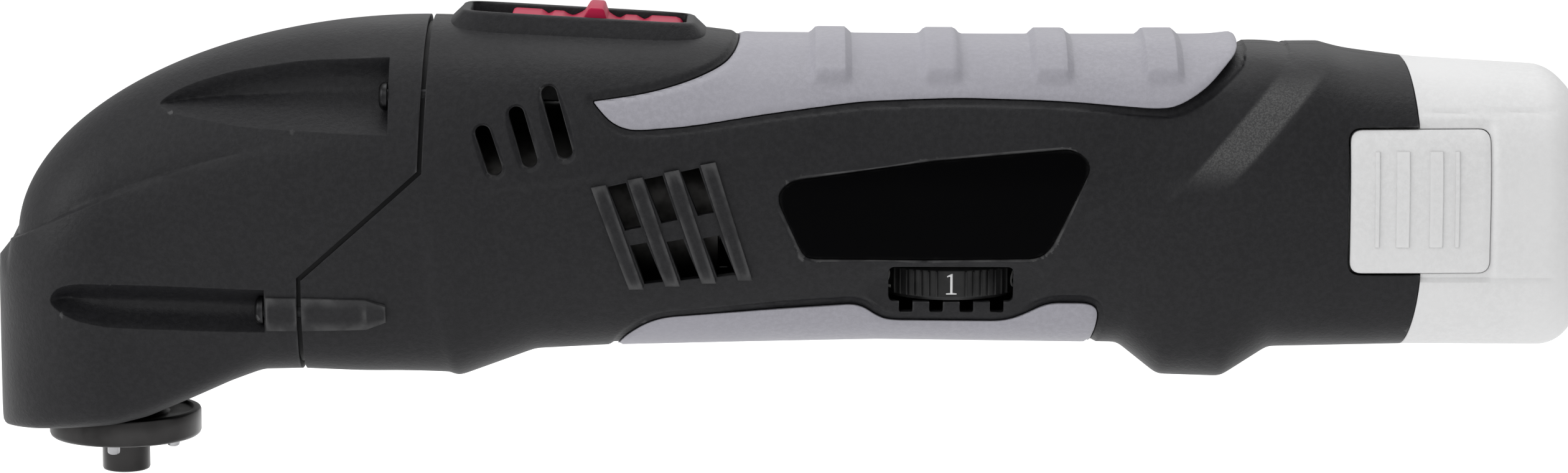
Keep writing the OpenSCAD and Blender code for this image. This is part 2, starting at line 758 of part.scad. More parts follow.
// A bar across the tool: its front face, length, half width, bottom and top
module bar(x, len, half, z0, z1) {
    translate([x, -half, z0]) cube([len, 2 * half, z1 - z0]);
}
module switch_link() {
    color("#4a4a4c") on_switch() translate([button_x, 0, 0])
        translate([-3, -2.4, -wall - 5.2]) cube([6, 4.8, wall + 3.7]);
}
switch_h = 6;
switch_len = 24;
module switch_body() {
    color("#1f2a44") on_switch() translate([0, 0, -wall - 4.6 - switch_h]) difference() {
        translate([-switch_len / 2, -6.5, 0]) cube([switch_len, 13, switch_h]);
        translate([button_x - 3.4 - slider_travel, -2.8, switch_h - 1.2])
            cube([6.8 + slider_travel, 5.6, 2]);
    }
}

// ======== Electronics ========
board_z = wheel_z + wheel_t + 5.2;
module circuit_board() {
    color("#1f5c3a") translate([wheel_x - 30, -15.5, board_z]) cube([56, 31, 1.6]);
}
module board_parts() {
    color("#2b2f36") translate([0, 0, board_z + 1.6]) {
        translate([wheel_x - 14, 6, 0]) cylinder(r = 4, h = 11);
        translate([wheel_x + 6, -8, 0]) cube([5, 4, 2]);
        translate([wheel_x - 2, -10, 0]) cube([6, 5, 1.6]);
        translate([wheel_x + 13, 4, 0]) cube([7, 8, 5]);
    }
}
module heat_sink() {
    color("#a8adb3") translate([wheel_x - 27, -10, board_z + 1.6]) union() {
        cube([9, 18, 2]);
        for (i = [0 : 3]) translate([2.4 * i, 0, 2]) cube([1.2, 18, 8]);
    }
}
module speed_control() {
    color("#2c4a7c") difference() {
        translate([wheel_x - 6, wheel_y - 5, wheel_z + wheel_t + 0.5])
            cube([12, 11, board_z - wheel_z - wheel_t - 0.5]);
        translate([wheel_x, wheel_y, wheel_z + wheel_t]) cylinder(r = wheel_shaft_r - 1 + run_fit, h = 4);
    }
}
module speed_wheel() {
    color("#1a1a1c") translate([wheel_x, wheel_y, wheel_z]) difference() {
        linear_extrude(wheel_t) polygon([
            for (i = [0 : 4 * knurl_n - 1])
                let (a = 90 * i / knurl_n, r = i % 4 < 2 ? wheel_r : wheel_r - 0.5)
                [r * cos(a), r * sin(a)]
        ]);
        translate([0, 0, -1]) cylinder(r = wheel_shaft_r, h = wheel_t + 2);
    }
}
module wheel_shaft() {
    color("#c8c8cc") translate([wheel_x, wheel_y, wheel_z]) union() {
        cylinder(r = wheel_shaft_r, h = wheel_t);
        cylinder(r = wheel_shaft_r - 1, h = wheel_t + 3);
    }
}
module terminal_block() {
    color("#26262a") difference() {
        translate([bay_x - 9, -11, bay_z - 6]) cube([9, 22, 12]);
        for (y = [-7, 0, 7]) translate([bay_x - 10, y - 0.4, bay_z - 3]) cube([12, 0.8, 6]);
    }
}
module terminal_blades() {
    color("#cdb36a") for (y = [-7, 0, 7])
        translate([bay_x - 11, y - 0.4, bay_z - 3]) cube([15, 0.8, 6]);
}
// A lead runs along X, then bends down through a quarter turn to the board
lead_r = 1;
lead_bend = 2.6;
module lead(x0, x1, y, z0, z1) {
    along_x(x0, y, z1) cylinder(r = lead_r, h = x1 - lead_bend - x0);
    translate([x1 - lead_bend, y, z1 - lead_bend]) rotate([90, 0, 0])
        rotate_extrude(angle = 90) translate([lead_bend, 0]) circle(r = lead_r);
    translate([x1, y, z0]) cylinder(r = lead_r, h = z1 - lead_bend - z0);
}
module supply_leads() {
    board_top = board_z + 1.6;
    color("#a01818") for (side = [-1, 1]) {
        lead(motor_end, wheel_x - 25, side * 12.5, board_top, motor_z + 6);
        translate([bay_x - 9, 0, 0]) mirror([1, 0, 0])
            lead(0, bay_x - 9 - wheel_x - 23, side * 5, board_top, bay_z + 3.5);
    }
}

// ======== Battery pack ========
pack_gap = 0.4;
latch_pocket_y = tail_half_w - 1.2 - latch_t - latch_travel - 0.6;
module battery_case() {
    color("#d5d5d6") moulded() difference() {
        union() {
            intersection() {
                pack_form();
                translate([tail_end + pack_gap, -far, -far]) cube([far, 2 * far, 4 * far]);
            }
            along_x(bay_x + 1, 0, bay_z) cylinder(r = stem_r, h = tail_end - bay_x + 4, $fn = 32);
        }
        along_x(bay_x + 1 + pack_wall, 0, bay_z)
            cylinder(r = stem_r - pack_wall, h = pack_end - bay_x - 1 - 3 * pack_wall, $fn = 32);
        // Slots for the terminals, and the pockets that the latches move in
        for (y = [-7, 0, 7]) translate([bay_x, y - 1, bay_z - 4]) cube([5, 2, 8]);
        both_sides() difference() {
            latch_box(-slide_gap, -far, -latch_pocket_y);
            along_x(notch_x - 1, 0, bay_z) cylinder(r = stem_r, h = tail_end - notch_x + 1.5, $fn = 32);
        }
    }
}
module battery_cells() {
    color("#3f6fa8") for (a = [90, 210, 330])
        along_x(bay_x + 5, cell_ring_r * cos(a), bay_z + cell_ring_r * sin(a))
            cylinder(r = cell_d / 2, h = cell_len);
}
module cell_tabs() {
    color("#c9cacc") difference() {
        union() for (x = [bay_x + 4.7, bay_x + 5 + cell_len])
            along_x(x, 0, bay_z) cylinder(r = cell_ring_r + 3, h = 0.3);
        along_x(bay_x, 0, bay_z) cylinder(r = 5, h = 100);
    }
}
module battery_contacts() {
    color("#cdb36a") for (y = [-7, 0, 7], s = [-1, 1])
        translate([bay_x + 1.2, y + s * 0.75 - 0.2, bay_z - 3.5]) cube([3.2, 0.4, 7]);
}
module latch_plate(side) {
    color("#d9d9da") moulded() difference() {
        intersection() {
            union() {
                body_form(-0.2);
                pack_form(-0.2);
            }
            mirror([0, side > 0 ? 1 : 0, 0]) latch_box(0.05, -far, -latch_pocket_y - latch_travel - 0.5);
        }
        body_form(-0.2 - latch_t);
        pack_form(-0.2 - latch_t);
    }
}
module latch_near() {
    latch_plate(-1);
}
module latch_far() {
    latch_plate(1);
}

housing_near();
housing_far();
head_cover();
top_grip();
lower_grip();
switch_bezel();
badge_near();
badge_far();
head_screws();
housing_screws();
gear_case();
lower_bearing();
upper_bearing();
shaft_bearing();
spindle_seal();
motor_can();
front_bush();
rear_bush();
motor_end_cap();
motor_magnets();
brushes();
motor_screws();
motor_shaft();
armature();
commutator();
fan();
counterweight();
eccentric_bearing();
spindle();
drive_pins();
retaining_ring();
fork_lever();
lever_screw();
slide_button();
switch_link();
switch_body();
circuit_board();
board_parts();
heat_sink();
speed_control();
speed_wheel();
wheel_shaft();
terminal_block();
terminal_blades();
supply_leads();
battery_case();
battery_cells();
cell_tabs();
battery_contacts();
latch_near();
latch_far();
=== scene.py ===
"""The looks of a cordless oscillating multi-tool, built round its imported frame."""
import json
import math

import bmesh
import bpy
import numpy as np
from mathutils import Matrix, Vector


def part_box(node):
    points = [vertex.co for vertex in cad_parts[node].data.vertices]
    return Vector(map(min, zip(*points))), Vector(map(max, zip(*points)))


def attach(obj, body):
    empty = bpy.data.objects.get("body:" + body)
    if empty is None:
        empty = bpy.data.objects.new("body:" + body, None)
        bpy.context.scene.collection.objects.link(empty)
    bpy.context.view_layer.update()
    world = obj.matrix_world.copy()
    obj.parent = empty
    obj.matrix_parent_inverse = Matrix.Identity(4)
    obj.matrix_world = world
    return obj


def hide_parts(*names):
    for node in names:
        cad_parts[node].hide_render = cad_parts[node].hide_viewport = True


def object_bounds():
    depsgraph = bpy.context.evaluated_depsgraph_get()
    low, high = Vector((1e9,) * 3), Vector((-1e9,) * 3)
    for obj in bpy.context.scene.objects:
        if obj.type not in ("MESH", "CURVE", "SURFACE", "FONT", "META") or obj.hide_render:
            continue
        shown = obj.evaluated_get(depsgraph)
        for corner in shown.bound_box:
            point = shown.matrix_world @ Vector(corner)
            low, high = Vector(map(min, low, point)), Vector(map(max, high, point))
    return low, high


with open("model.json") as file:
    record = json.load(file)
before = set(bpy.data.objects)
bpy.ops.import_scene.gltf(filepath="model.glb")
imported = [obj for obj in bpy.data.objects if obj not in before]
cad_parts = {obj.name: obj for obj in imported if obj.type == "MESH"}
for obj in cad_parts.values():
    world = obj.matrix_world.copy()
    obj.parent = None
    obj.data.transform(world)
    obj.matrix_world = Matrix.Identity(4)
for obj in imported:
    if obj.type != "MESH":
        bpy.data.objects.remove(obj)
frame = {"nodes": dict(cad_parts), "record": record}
MM = 0.001
cad_bounds = [list(corner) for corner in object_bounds()]
scene = bpy.context.scene


def box_mm(node):
    low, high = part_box(node)
    return [c / MM for c in low], [c / MM for c in high]


# ======== Camera, lights and floor ========
CENTRE = (Vector(cad_bounds[0]) + Vector(cad_bounds[1])) / 2
CENTRE.y = 0
VIEW_DISTANCE = 1.06
VIEW_RISE = math.radians(9.5)


def aim(thing, place, target):
    thing.location = place
    thing.rotation_euler = (Vector(target) - Vector(place)).to_track_quat("-Z", "Y").to_euler()


def make_camera():
    data = bpy.data.cameras.new("camera")
    data.sensor_width = 36
    data.lens = 132.0
    camera = bpy.data.objects.new("camera", data)
    scene.collection.objects.link(camera)
    back = VIEW_DISTANCE * math.cos(VIEW_RISE)
    aim(camera, CENTRE + Vector((0, -back, VIEW_DISTANCE * math.sin(VIEW_RISE))), CENTRE)
    scene.camera = camera


def softbox(name, place, width, height, power):
    data = bpy.data.lights.new(name, "AREA")
    data.shape = "RECTANGLE"
    data.size = width
    data.size_y = height
    data.energy = power
    light = bpy.data.objects.new(name, data)
    scene.collection.objects.link(light)
    aim(light, Vector(place), CENTRE)


def make_studio():
    softbox("top_softbox", (0.10, 0.12, 0.95), 1.1, 0.5, 5.0)
    softbox("front_softbox", (-0.55, -1.15, 0.95), 1.0, 0.7, 4.0)
    softbox("back_softbox", (0.25, 0.95, 0.75), 1.4, 0.5, 2.5)
    softbox("nose_softbox", (-0.95, -0.25, 0.5), 0.6, 0.6, 4.5)
    world = bpy.data.worlds.new("studio_air")
    scene.world = world
    world.use_nodes = True
    air = world.node_tree.nodes["Background"]
    air.inputs["Color"].default_value = (1, 1, 1, 1)
    air.inputs["Strength"].default_value = 0.68
    scene.view_settings.view_transform = "Standard"


make_camera()
make_studio()


# ======== Shader groups that several finishes share ========
def node_group(name, inputs, outputs):
    tree = bpy.data.node_groups.new(name, "ShaderNodeTree")
    for label, kind, value in inputs:
        socket = tree.interface.new_socket(label, in_out="INPUT", socket_type=kind)
        socket.default_value = value
    for label, kind in outputs:
        tree.interface.new_socket(label, in_out="OUTPUT", socket_type=kind)
    return tree, tree.nodes.new("NodeGroupInput"), tree.nodes.new("NodeGroupOutput")


def add_node(tree, kind, **settings):
    made = tree.nodes.new(kind)
    for label, value in settings.items():
        setattr(made, label, value)
    return made


def maths(tree, operation, first, second):
    made = add_node(tree, "ShaderNodeMath", operation=operation)
    for socket, value in zip(made.inputs, (first, second)):
        if isinstance(value, (int, float)):
            socket.default_value = value
        else:
            tree.links.new(value, socket)
    return made.outputs[0]


def noise(tree, vector, scale, detail=3.0, rough=0.5):
    made = add_node(tree, "ShaderNodeTexNoise")
    made.inputs["Detail"].default_value = detail
    made.inputs["Roughness"].default_value = rough
    if isinstance(scale, (int, float)):
        made.inputs["Scale"].default_value = scale
    else:
        tree.links.new(scale, made.inputs["Scale"])
    tree.links.new(vector, made.inputs["Vector"])
    return made.outputs["Fac"]


def span(tree, value, low, high, to_low, to_high):
    made = add_node(tree, "ShaderNodeMapRange", interpolation_type="SMOOTHSTEP")
    tree.links.new(value, made.inputs["Value"])
    ends = (("From Min", low), ("From Max", high), ("To Min", to_low), ("To Max", to_high))
    for label, number in ends:
        if isinstance(number, (int, float)):
            made.inputs[label].default_value = number
        else:
            tree.links.new(number, made.inputs[label])
    return made.outputs[0]


def make_moulded_grain():
    """The fine eroded grain of a moulded surface: a height, and a patchy shade."""
    tree, given, result = node_group(
        "moulded_grain",
        [("Grain Scale", "NodeSocketFloat", 1800.0), ("Patch Scale", "NodeSocketFloat", 30.0)],
        [("Height", "NodeSocketFloat"), ("Patches", "NodeSocketFloat")],
    )
    place = add_node(tree, "ShaderNodeTexCoord").outputs["Object"]
    fine = noise(tree, place, given.outputs["Grain Scale"], 2.0, 0.6)
    coarse = noise(tree, place, maths(tree, "MULTIPLY", given.outputs["Grain Scale"], 0.31), 2.0, 0.55)
    tree.links.new(maths(tree, "ADD", maths(tree, "MULTIPLY", fine, 0.6), coarse), result.inputs["Height"])
    patches = noise(tree, place, given.outputs["Patch Scale"], 4.0, 0.55)
    tree.links.new(span(tree, patches, 0.3, 0.7, 0.0, 1.0), result.inputs["Patches"])
    return tree


def make_edge_wear_and_highlight():
    """Corners rubbed by handling, with a painted highlight along edges: a mask from the surface's own convexity,
    broken by noise.
    """
    tree, given, result = node_group(
        "edge_wear_and_highlight", [("Start", "NodeSocketFloat", 0.52), ("End", "NodeSocketFloat", 0.6)],
        [("Mask", "NodeSocketFloat")],
    )
    place = add_node(tree, "ShaderNodeTexCoord").outputs["Object"]
    convex = add_node(tree, "ShaderNodeNewGeometry").outputs["Pointiness"]
    rubbed_and_lit = span(tree, convex, given.outputs["Start"], given.outputs["End"], 0.0, 1.0)
    broken = span(tree, noise(tree, place, 260.0, 3.0), 0.35, 0.6, 0.35, 1.0)
    tree.links.new(maths(tree, "MULTIPLY", rubbed_and_lit, broken), result.inputs["Mask"])
    return tree


def make_dust():
    """Light dust on what faces up."""
    tree, given, result = node_group(
        "settled_dust", [("Amount", "NodeSocketFloat", 0.15)], [("Mask", "NodeSocketFloat")]
    )
    place = add_node(tree, "ShaderNodeTexCoord").outputs["Object"]
    split = add_node(tree, "ShaderNodeSeparateXYZ")
    tree.links.new(add_node(tree, "ShaderNodeNewGeometry").outputs["Normal"], split.inputs[0])
    facing = span(tree, split.outputs["Z"], 0.35, 1.0, 0.0, 1.0)
    specks = span(tree, noise(tree, place, 420.0, 5.0, 0.7), 0.45, 0.75, 0.25, 1.0)
    amount = maths(tree, "MULTIPLY", given.outputs["Amount"], specks)
    tree.links.new(maths(tree, "MULTIPLY", facing, amount), result.inputs["Mask"])
    return tree


def make_brushing():
    """Fine turned or ground lines round an axis, for metal."""
    tree, given, result = node_group(
        "ground_lines", [("Line Scale", "NodeSocketFloat", 900.0)],
        [("Height", "NodeSocketFloat"), ("Streaks", "NodeSocketFloat")],
    )
    place = add_node(tree, "ShaderNodeTexCoord").outputs["Object"]
    squeeze = add_node(tree, "ShaderNodeMapping")
    squeeze.inputs["Scale"].default_value = (0.12, 0.12, 1.0)
    tree.links.new(place, squeeze.inputs["Vector"])
    lines = noise(tree, squeeze.outputs[0], given.outputs["Line Scale"], 3.0, 0.6)
    tree.links.new(lines, result.inputs["Height"])
    smudges = noise(tree, place, 55.0, 4.0, 0.6)
    tree.links.new(span(tree, smudges, 0.35, 0.65, 0.0, 1.0), result.inputs["Streaks"])
    return tree


def make_facet_highlight():
    """The slanted facets ahead of the battery, painted lighter than the grain round them as a highlight."""
    tree, given, result = node_group(
        "painted_facet_highlight", [("Strength", "NodeSocketFloat", 1.0)], [("Mask", "NodeSocketFloat")]
    )
    foot_x, foot_z = (box_mm("top_grip")[0][0] + 106.9) * MM, 52.3 * MM
    place = add_node(tree, "ShaderNodeTexCoord").outputs["Object"]
    split = add_node(tree, "ShaderNodeSeparateXYZ")
    tree.links.new(place, split.inputs[0])
    back = maths(tree, "MULTIPLY", maths(tree, "SUBTRACT", split.outputs["X"], foot_x), 0.744)
    up = maths(tree, "MULTIPLY", maths(tree, "SUBTRACT", split.outputs["Z"], foot_z), 0.668)
    across = maths(tree, "SUBTRACT", back, up)
    rise, fall = span(tree, across, 0.0, 0.0009, 0.0, 1.0), span(tree, across, 0.0058, 0.0068, 1.0, 0.0)
    band = maths(tree, "MULTIPLY", rise, fall)
    low_end = span(tree, split.outputs["Z"], 0.049, 0.056, 0.0, 1.0)
    high_end = span(tree, split.outputs["Z"], 0.0655, 0.0705, 1.0, 0.0)
    ends = maths(tree, "MULTIPLY", low_end, high_end)
    specks = span(tree, noise(tree, place, 3200.0, 3.0, 0.7), 0.4, 0.62, 0.35, 1.0)
    mask = maths(tree, "MULTIPLY", maths(tree, "MULTIPLY", band, ends), specks)
    tree.links.new(maths(tree, "MULTIPLY", mask, given.outputs["Strength"]), result.inputs["Mask"])
    return tree


GRAIN = make_moulded_grain()
FACET_HIGHLIGHT_GROUP = make_facet_highlight()
EDGE_WEAR_AND_HIGHLIGHT = make_edge_wear_and_highlight()
DUST = make_dust()
LINES = make_brushing()
DUST_GREY = (0.42, 0.41, 0.4)
# Colour of the painted highlight on the slanted facets ahead of the battery
FACET_HIGHLIGHT_GREY = (0.075, 0.075, 0.075)
PLASTIC_CORNER = 0.00035
METAL_CORNER = 0.0002


# ======== Finishes ========
def place_group(tree, group, **values):
    made = add_node(tree, "ShaderNodeGroup", node_tree=group)
    for label, value in values.items():
        made.inputs[label.replace("_", " ")].default_value = value
    return made


def blend_colours(tree, mask, first, second):
    made = add_node(tree, "ShaderNodeMix", data_type="RGBA")
    tree.links.new(mask, made.inputs["Factor"])
    for socket, value in ((made.inputs["A"], first), (made.inputs["B"], second)):
        if isinstance(value, tuple):
            socket.default_value = (*value, 1)
        else:
            tree.links.new(value, socket)
    return made.outputs["Result"]


def soften_corners(tree, bump, radius):
    """Rounds the shading of sharp corners under a bump."""
    softened = add_node(tree, "ShaderNodeBevel", samples=4)
    softened.inputs["Radius"].default_value = radius
    tree.links.new(softened.outputs[0], bump.inputs["Normal"])


def plastic(
    name, colour, rough=0.5, grain=1800.0, depth=0.00004, wear_and_highlight=0.25, dust=0.1, fleck=0.0, facet_highlight=0.0, **shine
):
    """Moulded plastic or rubber: grain, patchy shade, corners lightened by wear and a painted edge highlight, and a
    little dust.
    """
    material = bpy.data.materials.new(name)
    material.use_nodes = True
    tree = material.node_tree
    shader = tree.nodes["Principled BSDF"]
    skin = place_group(tree, GRAIN, Grain_Scale=grain)
    rubbed_and_lit = place_group(tree, EDGE_WEAR_AND_HIGHLIGHT)
    dusty = place_group(tree, DUST, Amount=dust)
    darker = tuple(c * 0.93 for c in colour)
    lighter = tuple(c + wear_and_highlight * (0.16 if max(colour) < 0.3 else 0.06) for c in colour)
    base = blend_colours(tree, skin.outputs["Patches"], darker, colour)
    specks = span(tree, skin.outputs["Height"], 0.6, 1.05, 0.0, 1.0)
    flecked = tuple(c * (1 + 0.5 * fleck) + 0.006 * fleck for c in colour)
    base = blend_colours(tree, specks, base, flecked)
    # Corners lightened: wear and a painted highlight along edges
    base = blend_colours(tree, rubbed_and_lit.outputs["Mask"], base, lighter)
    base = blend_colours(tree, dusty.outputs["Mask"], base, DUST_GREY)
    # Painted highlight: the slanted facets ahead of the battery are coloured lighter
    if facet_highlight:
        facet = place_group(tree, FACET_HIGHLIGHT_GROUP, Strength=facet_highlight)
        base = blend_colours(tree, facet.outputs["Mask"], base, FACET_HIGHLIGHT_GREY)
    tree.links.new(base, shader.inputs["Base Color"])
    tree.links.new(
        span(tree, skin.outputs["Patches"], 0.0, 1.0, rough - 0.04, rough + 0.05), shader.inputs["Roughness"]
    )
    bump = add_node(tree, "ShaderNodeBump")
    bump.inputs["Distance"].default_value = depth
    tree.links.new(skin.outputs["Height"], bump.inputs["Height"])
    soften_corners(tree, bump, PLASTIC_CORNER)
    tree.links.new(bump.outputs[0], shader.inputs["Normal"])
    for label, value in shine.items():
        shader.inputs[label.replace("_", " ")].default_value = value
    return material


def metal(name, colour, rough=0.35, tarnish=0.7, line=900.0, depth=0.00001):
    """Ground, turned or cast metal: fine lines, smudges and bright corners from wear and a painted edge highlight.
    """
    material = bpy.data.materials.new(name)
    material.use_nodes = True
    tree = material.node_tree
    shader = tree.nodes["Principled BSDF"]
    shader.inputs["Metallic"].default_value = 1.0
    lines = place_group(tree, LINES, Line_Scale=line)
    rubbed_and_lit = place_group(tree, EDGE_WEAR_AND_HIGHLIGHT)
    dull = tuple(c * tarnish for c in colour)
    bright = tuple(min(1.0, c * 1.5 + 0.03) for c in colour)
    base = blend_colours(tree, lines.outputs["Streaks"], dull, colour)
    # Corners brightened: wear and a painted highlight along edges
    base = blend_colours(tree, rubbed_and_lit.outputs["Mask"], base, bright)
    tree.links.new(base, shader.inputs["Base Color"])
    tree.links.new(
        span(tree, lines.outputs["Streaks"], 0.0, 1.0, rough + 0.1, rough - 0.05), shader.inputs["Roughness"]
    )
    bump = add_node(tree, "ShaderNodeBump")
    bump.inputs["Distance"].default_value = depth
    tree.links.new(lines.outputs["Height"], bump.inputs["Height"])
    soften_corners(tree, bump, METAL_CORNER)
    tree.links.new(bump.outputs[0], shader.inputs["Normal"])
    return material


FINISHES = {
    "body_plastic": plastic(
        "body_plastic", (0.0095, 0.0095, 0.0107), 0.5, 3600.0, 0.00007, dust=0.0, fleck=0.4, facet_highlight=0.8,
        Specular_IOR_Level=0.17,
    ),
    "soft_grip": plastic(
        "soft_grip", (0.25, 0.246, 0.275), 0.5, 3600.0, 0.00004, 0.1, 0.0, 0.12, Specular_IOR_Level=0.35
    ),
    "gloss_black": plastic(
        "gloss_black", (0.001, 0.001, 0.0012), 0.1, 2200.0, 0.000003, 0.03, 0.0, Specular_IOR_Level=0.015
    ),
    "red_plastic": plastic(
        "red_plastic", (0.34, 0.005, 0.04), 0.45, 3000.0, 0.00002, 0.05, 0.0, Specular_IOR_Level=0.15
    ),
    "wheel_plastic": plastic(
        "wheel_plastic", (0.004, 0.004, 0.0043), 0.4, 2000.0, 0.00002, 0.1, 0.0, Specular_IOR_Level=0.2
    ),
    "pack_plastic": plastic(
        "pack_plastic", (0.61, 0.61, 0.612), 0.6, 3000.0, 0.00004, 0.05, 0.0, Specular_IOR_Level=0.1
    ),
    "inner_plastic": plastic("inner_plastic", (0.004, 0.004, 0.005), dust=0.0, Specular_IOR_Level=0.2),
    "carbon": plastic("carbon", (0.02, 0.02, 0.02), 0.7, 2600.0, 0.00008),
    "board": plastic("board", (0.015, 0.11, 0.045), 0.35, 2600.0, 0.00002),
    "lead": plastic("lead", (0.32, 0.015, 0.015), 0.4, 2600.0, 0.00002),
    "cell_wrap": plastic("cell_wrap", (0.05, 0.14, 0.33), 0.3, 700.0, 0.00003),
    "dark_steel": metal("dark_steel", (0.035, 0.034, 0.034), 0.36, 0.6),
    "bright_steel": metal("bright_steel", (0.3, 0.3, 0.31), 0.32),
    "screw_steel": metal("screw_steel", (0.02, 0.02, 0.021), 0.4),
    "cast_alloy": metal("cast_alloy", (0.16, 0.155, 0.15), 0.5, 0.7, 260.0, 0.00006),
    "bronze": metal("bronze", (0.5, 0.34, 0.13), 0.4),
    "magnet": metal("magnet", (0.06, 0.06, 0.065), 0.55),
    "winding": metal("winding", (0.4, 0.14, 0.05), 0.35, 0.6, 2600.0, 0.0001),
    "contact": metal("contact", (0.62, 0.5, 0.24), 0.25),
    "can_steel": metal("can_steel", (0.018, 0.017, 0.016), 0.5, 0.6),
}
NODE_SLOTS = {part["node"]: part["material_slot"] for part in frame["record"]["subparts"]}


# ======== The body's form: a section at every place along the tool ========
HEAD_LOW, _ = box_mm("head_cover")
BODY_LOW, BODY_HIGH = box_mm("housing_near")
PACK_LOW, PACK_HIGH = box_mm("battery_case")
GRIP_LOW, _ = box_mm("top_grip")
NOSE_R = -HEAD_LOW[0]
NECK_X = BODY_LOW[0]
SHOULDER_X = NECK_X + 22
GRIP_X = GRIP_LOW[0] + 26.5
TAIL_X = GRIP_X + 90
TAIL_END = BODY_HIGH[0]
PACK_END = PACK_HIGH[0]
BAY_Z = 43.4
NOSE_LEDGE = 2.8
NOSE_Z = 37.4
BODY_TOP = 78.1

TOP_LINE = [
    (SHOULDER_X, BODY_TOP), (SHOULDER_X + 4.5, 78.0), (GRIP_X - 9, 75.8), (GRIP_X, 74.6), (GRIP_X + 45, 74.2),
    (TAIL_X - 4, 74.1), (TAIL_X + 2, 75.1), (TAIL_X + 8, 74.8), (TAIL_X + 14, 73.3), (TAIL_X + 19, 71.7),
    (TAIL_END, 70.0), (PACK_END, 68.1),
]
BOTTOM_LINE = [
    (-NOSE_R, 2.7), (-15, 3.2), (0, 4.7), (6, 6.1), (14, 9.3), (21, 12.2), (27, 14.2), (NECK_X, 14.2),
    (SHOULDER_X + 6.3, 12.2), (SHOULDER_X + 20, 17.2), (SHOULDER_X + 35, 17.9), (GRIP_X + 24, 18.8),
    (TAIL_X - 22, 18.3), (TAIL_X - 14.6, 12.3), (TAIL_X - 3, 12.0), (TAIL_X + 5.4, 17.7), (TAIL_END, 18.3),
    (PACK_END, 18.2),
]
MID_LINE = [
    (-NOSE_R, 30), (0, 35), (NECK_X, 42), (SHOULDER_X, 45), (GRIP_X, 46.5), (TAIL_X - 20, 45.5),
    (TAIL_X + 8, BAY_Z), (PACK_END, BAY_Z),
]
WIDTH_LINE = [
    (0, NOSE_R), (NECK_X + 5, 26.0), (SHOULDER_X + 6, 27.15), (GRIP_X - 24, 25.4), (GRIP_X + 25, 23.1),
    (TAIL_X - 25, 23.6), (TAIL_X, 26.0), (TAIL_END, 26.0), (PACK_END, 24.8),
]
TOP_POWER = [(0, 2.1), (NECK_X, 2.25), (GRIP_X, 2.5), (TAIL_END, 2.8), (PACK_END, 3.0)]
BOTTOM_POWER = [
    (0, 8.0), (10, 6.0), (NECK_X - 10, 4.0), (SHOULDER_X, 2.7), (GRIP_X, 2.6), (TAIL_END, 2.8), (PACK_END, 3.0),
]


def along(line, x, blur):
    """The line's value at x, with its corners rounded over blur."""
    places, values = zip(*line)
    offsets = np.linspace(-2, 2, 17)
    weights = np.exp(-offsets**2)
    total = sum(w * np.interp(x + blur * o, places, values) for o, w in zip(offsets, weights))
    return total / weights.sum()


def ease(t):
    t = np.clip(t, 0, 1)
    return t * t * (3 - 2 * t)


def top_z(x):
    u = np.clip((SHOULDER_X - x) / (SHOULDER_X + NOSE_R - NOSE_LEDGE), 0, 1)
    dome = NOSE_Z + (BODY_TOP - NOSE_Z) * (1 - u * u) ** 0.53
    ledge = NOSE_Z - 3.5 * (NOSE_LEDGE - NOSE_R - x) / NOSE_LEDGE
    rear = along(TOP_LINE, np.maximum(x, SHOULDER_X), 3.0)
    rear += (BODY_TOP - along(TOP_LINE, np.array([SHOULDER_X]), 3.0)[0]) * np.exp(-np.maximum(x - SHOULDER_X, 0) / 6)
    return np.where(x < NOSE_LEDGE - NOSE_R, ledge, np.where(x < SHOULDER_X, dome, rear))


def bottom_z(x):
    corner = 1.6
    t = np.clip((corner - NOSE_R - x) / corner, 0, 1)
    return along(BOTTOM_LINE, x, 1.0) + corner * (1 - np.sqrt(1 - t * t))


def mid_z(x):
    return np.minimum(along(MID_LINE, x, 4.0), top_z(x) - 4)


def half_w(x, grow):
    nose = np.sqrt(np.maximum((NOSE_R + grow) ** 2 - np.minimum(x, 0) ** 2, 0))
    rest = along(WIDTH_LINE, np.maximum(x, 0), 5.0) + grow
    return np.where(x < 0, nose, rest - (along(WIDTH_LINE, np.zeros(1), 5.0)[0] - NOSE_R) * np.exp(-x / 8))


PACK_CORNER = 7.0


def end_inset(x, grow):
    """How far the section shrinks near the pack's rounded end."""
    d = np.clip(x - (PACK_END + grow - PACK_CORNER), 0, PACK_CORNER)
    return PACK_CORNER - np.sqrt(PACK_CORNER**2 - d * d)


def section(x, angle, grow):
    """Points of the body's surface, for arrays of places along X and angles round it."""
    x = x[:, None]
    c, s = np.cos(angle)[None, :], np.sin(angle)[None, :]
    shrink = grow - end_inset(x, grow)
    middle = mid_z(x)
    top = np.minimum(top_z(x), top_z(x + min(grow, 0) * 1.2))
    tall = np.where(s >= 0, np.maximum(top - middle, 4 - shrink), middle - bottom_z(x)) + shrink
    power = np.where(s >= 0, along(TOP_POWER, x, 3.0), along(BOTTOM_POWER, x, 3.0))
    reach = (np.abs(c) ** power + np.abs(s) ** power) ** (-1 / power)
    y = (half_w(x, grow) - end_inset(x, grow)) * c * reach
    return np.stack(np.broadcast_arrays(x, y, middle + tall * s * reach), -1)


def side_y(x, z, grow=0.0):
    """How far out the body's side is at a place seen from the side."""
    x, z = np.atleast_1d(x).astype(float), np.atleast_1d(z).astype(float)
    middle = mid_z(x)
    tall = np.where(z > middle, top_z(x) - middle, middle - bottom_z(x)) + grow
    power = np.where(z > middle, along(TOP_POWER, x, 3.0), along(BOTTOM_POWER, x, 3.0))
    inside = np.clip(1 - np.abs((z - middle) / tall) ** power, 0, 1)
    return half_w(x, grow) * inside ** (1 / power)


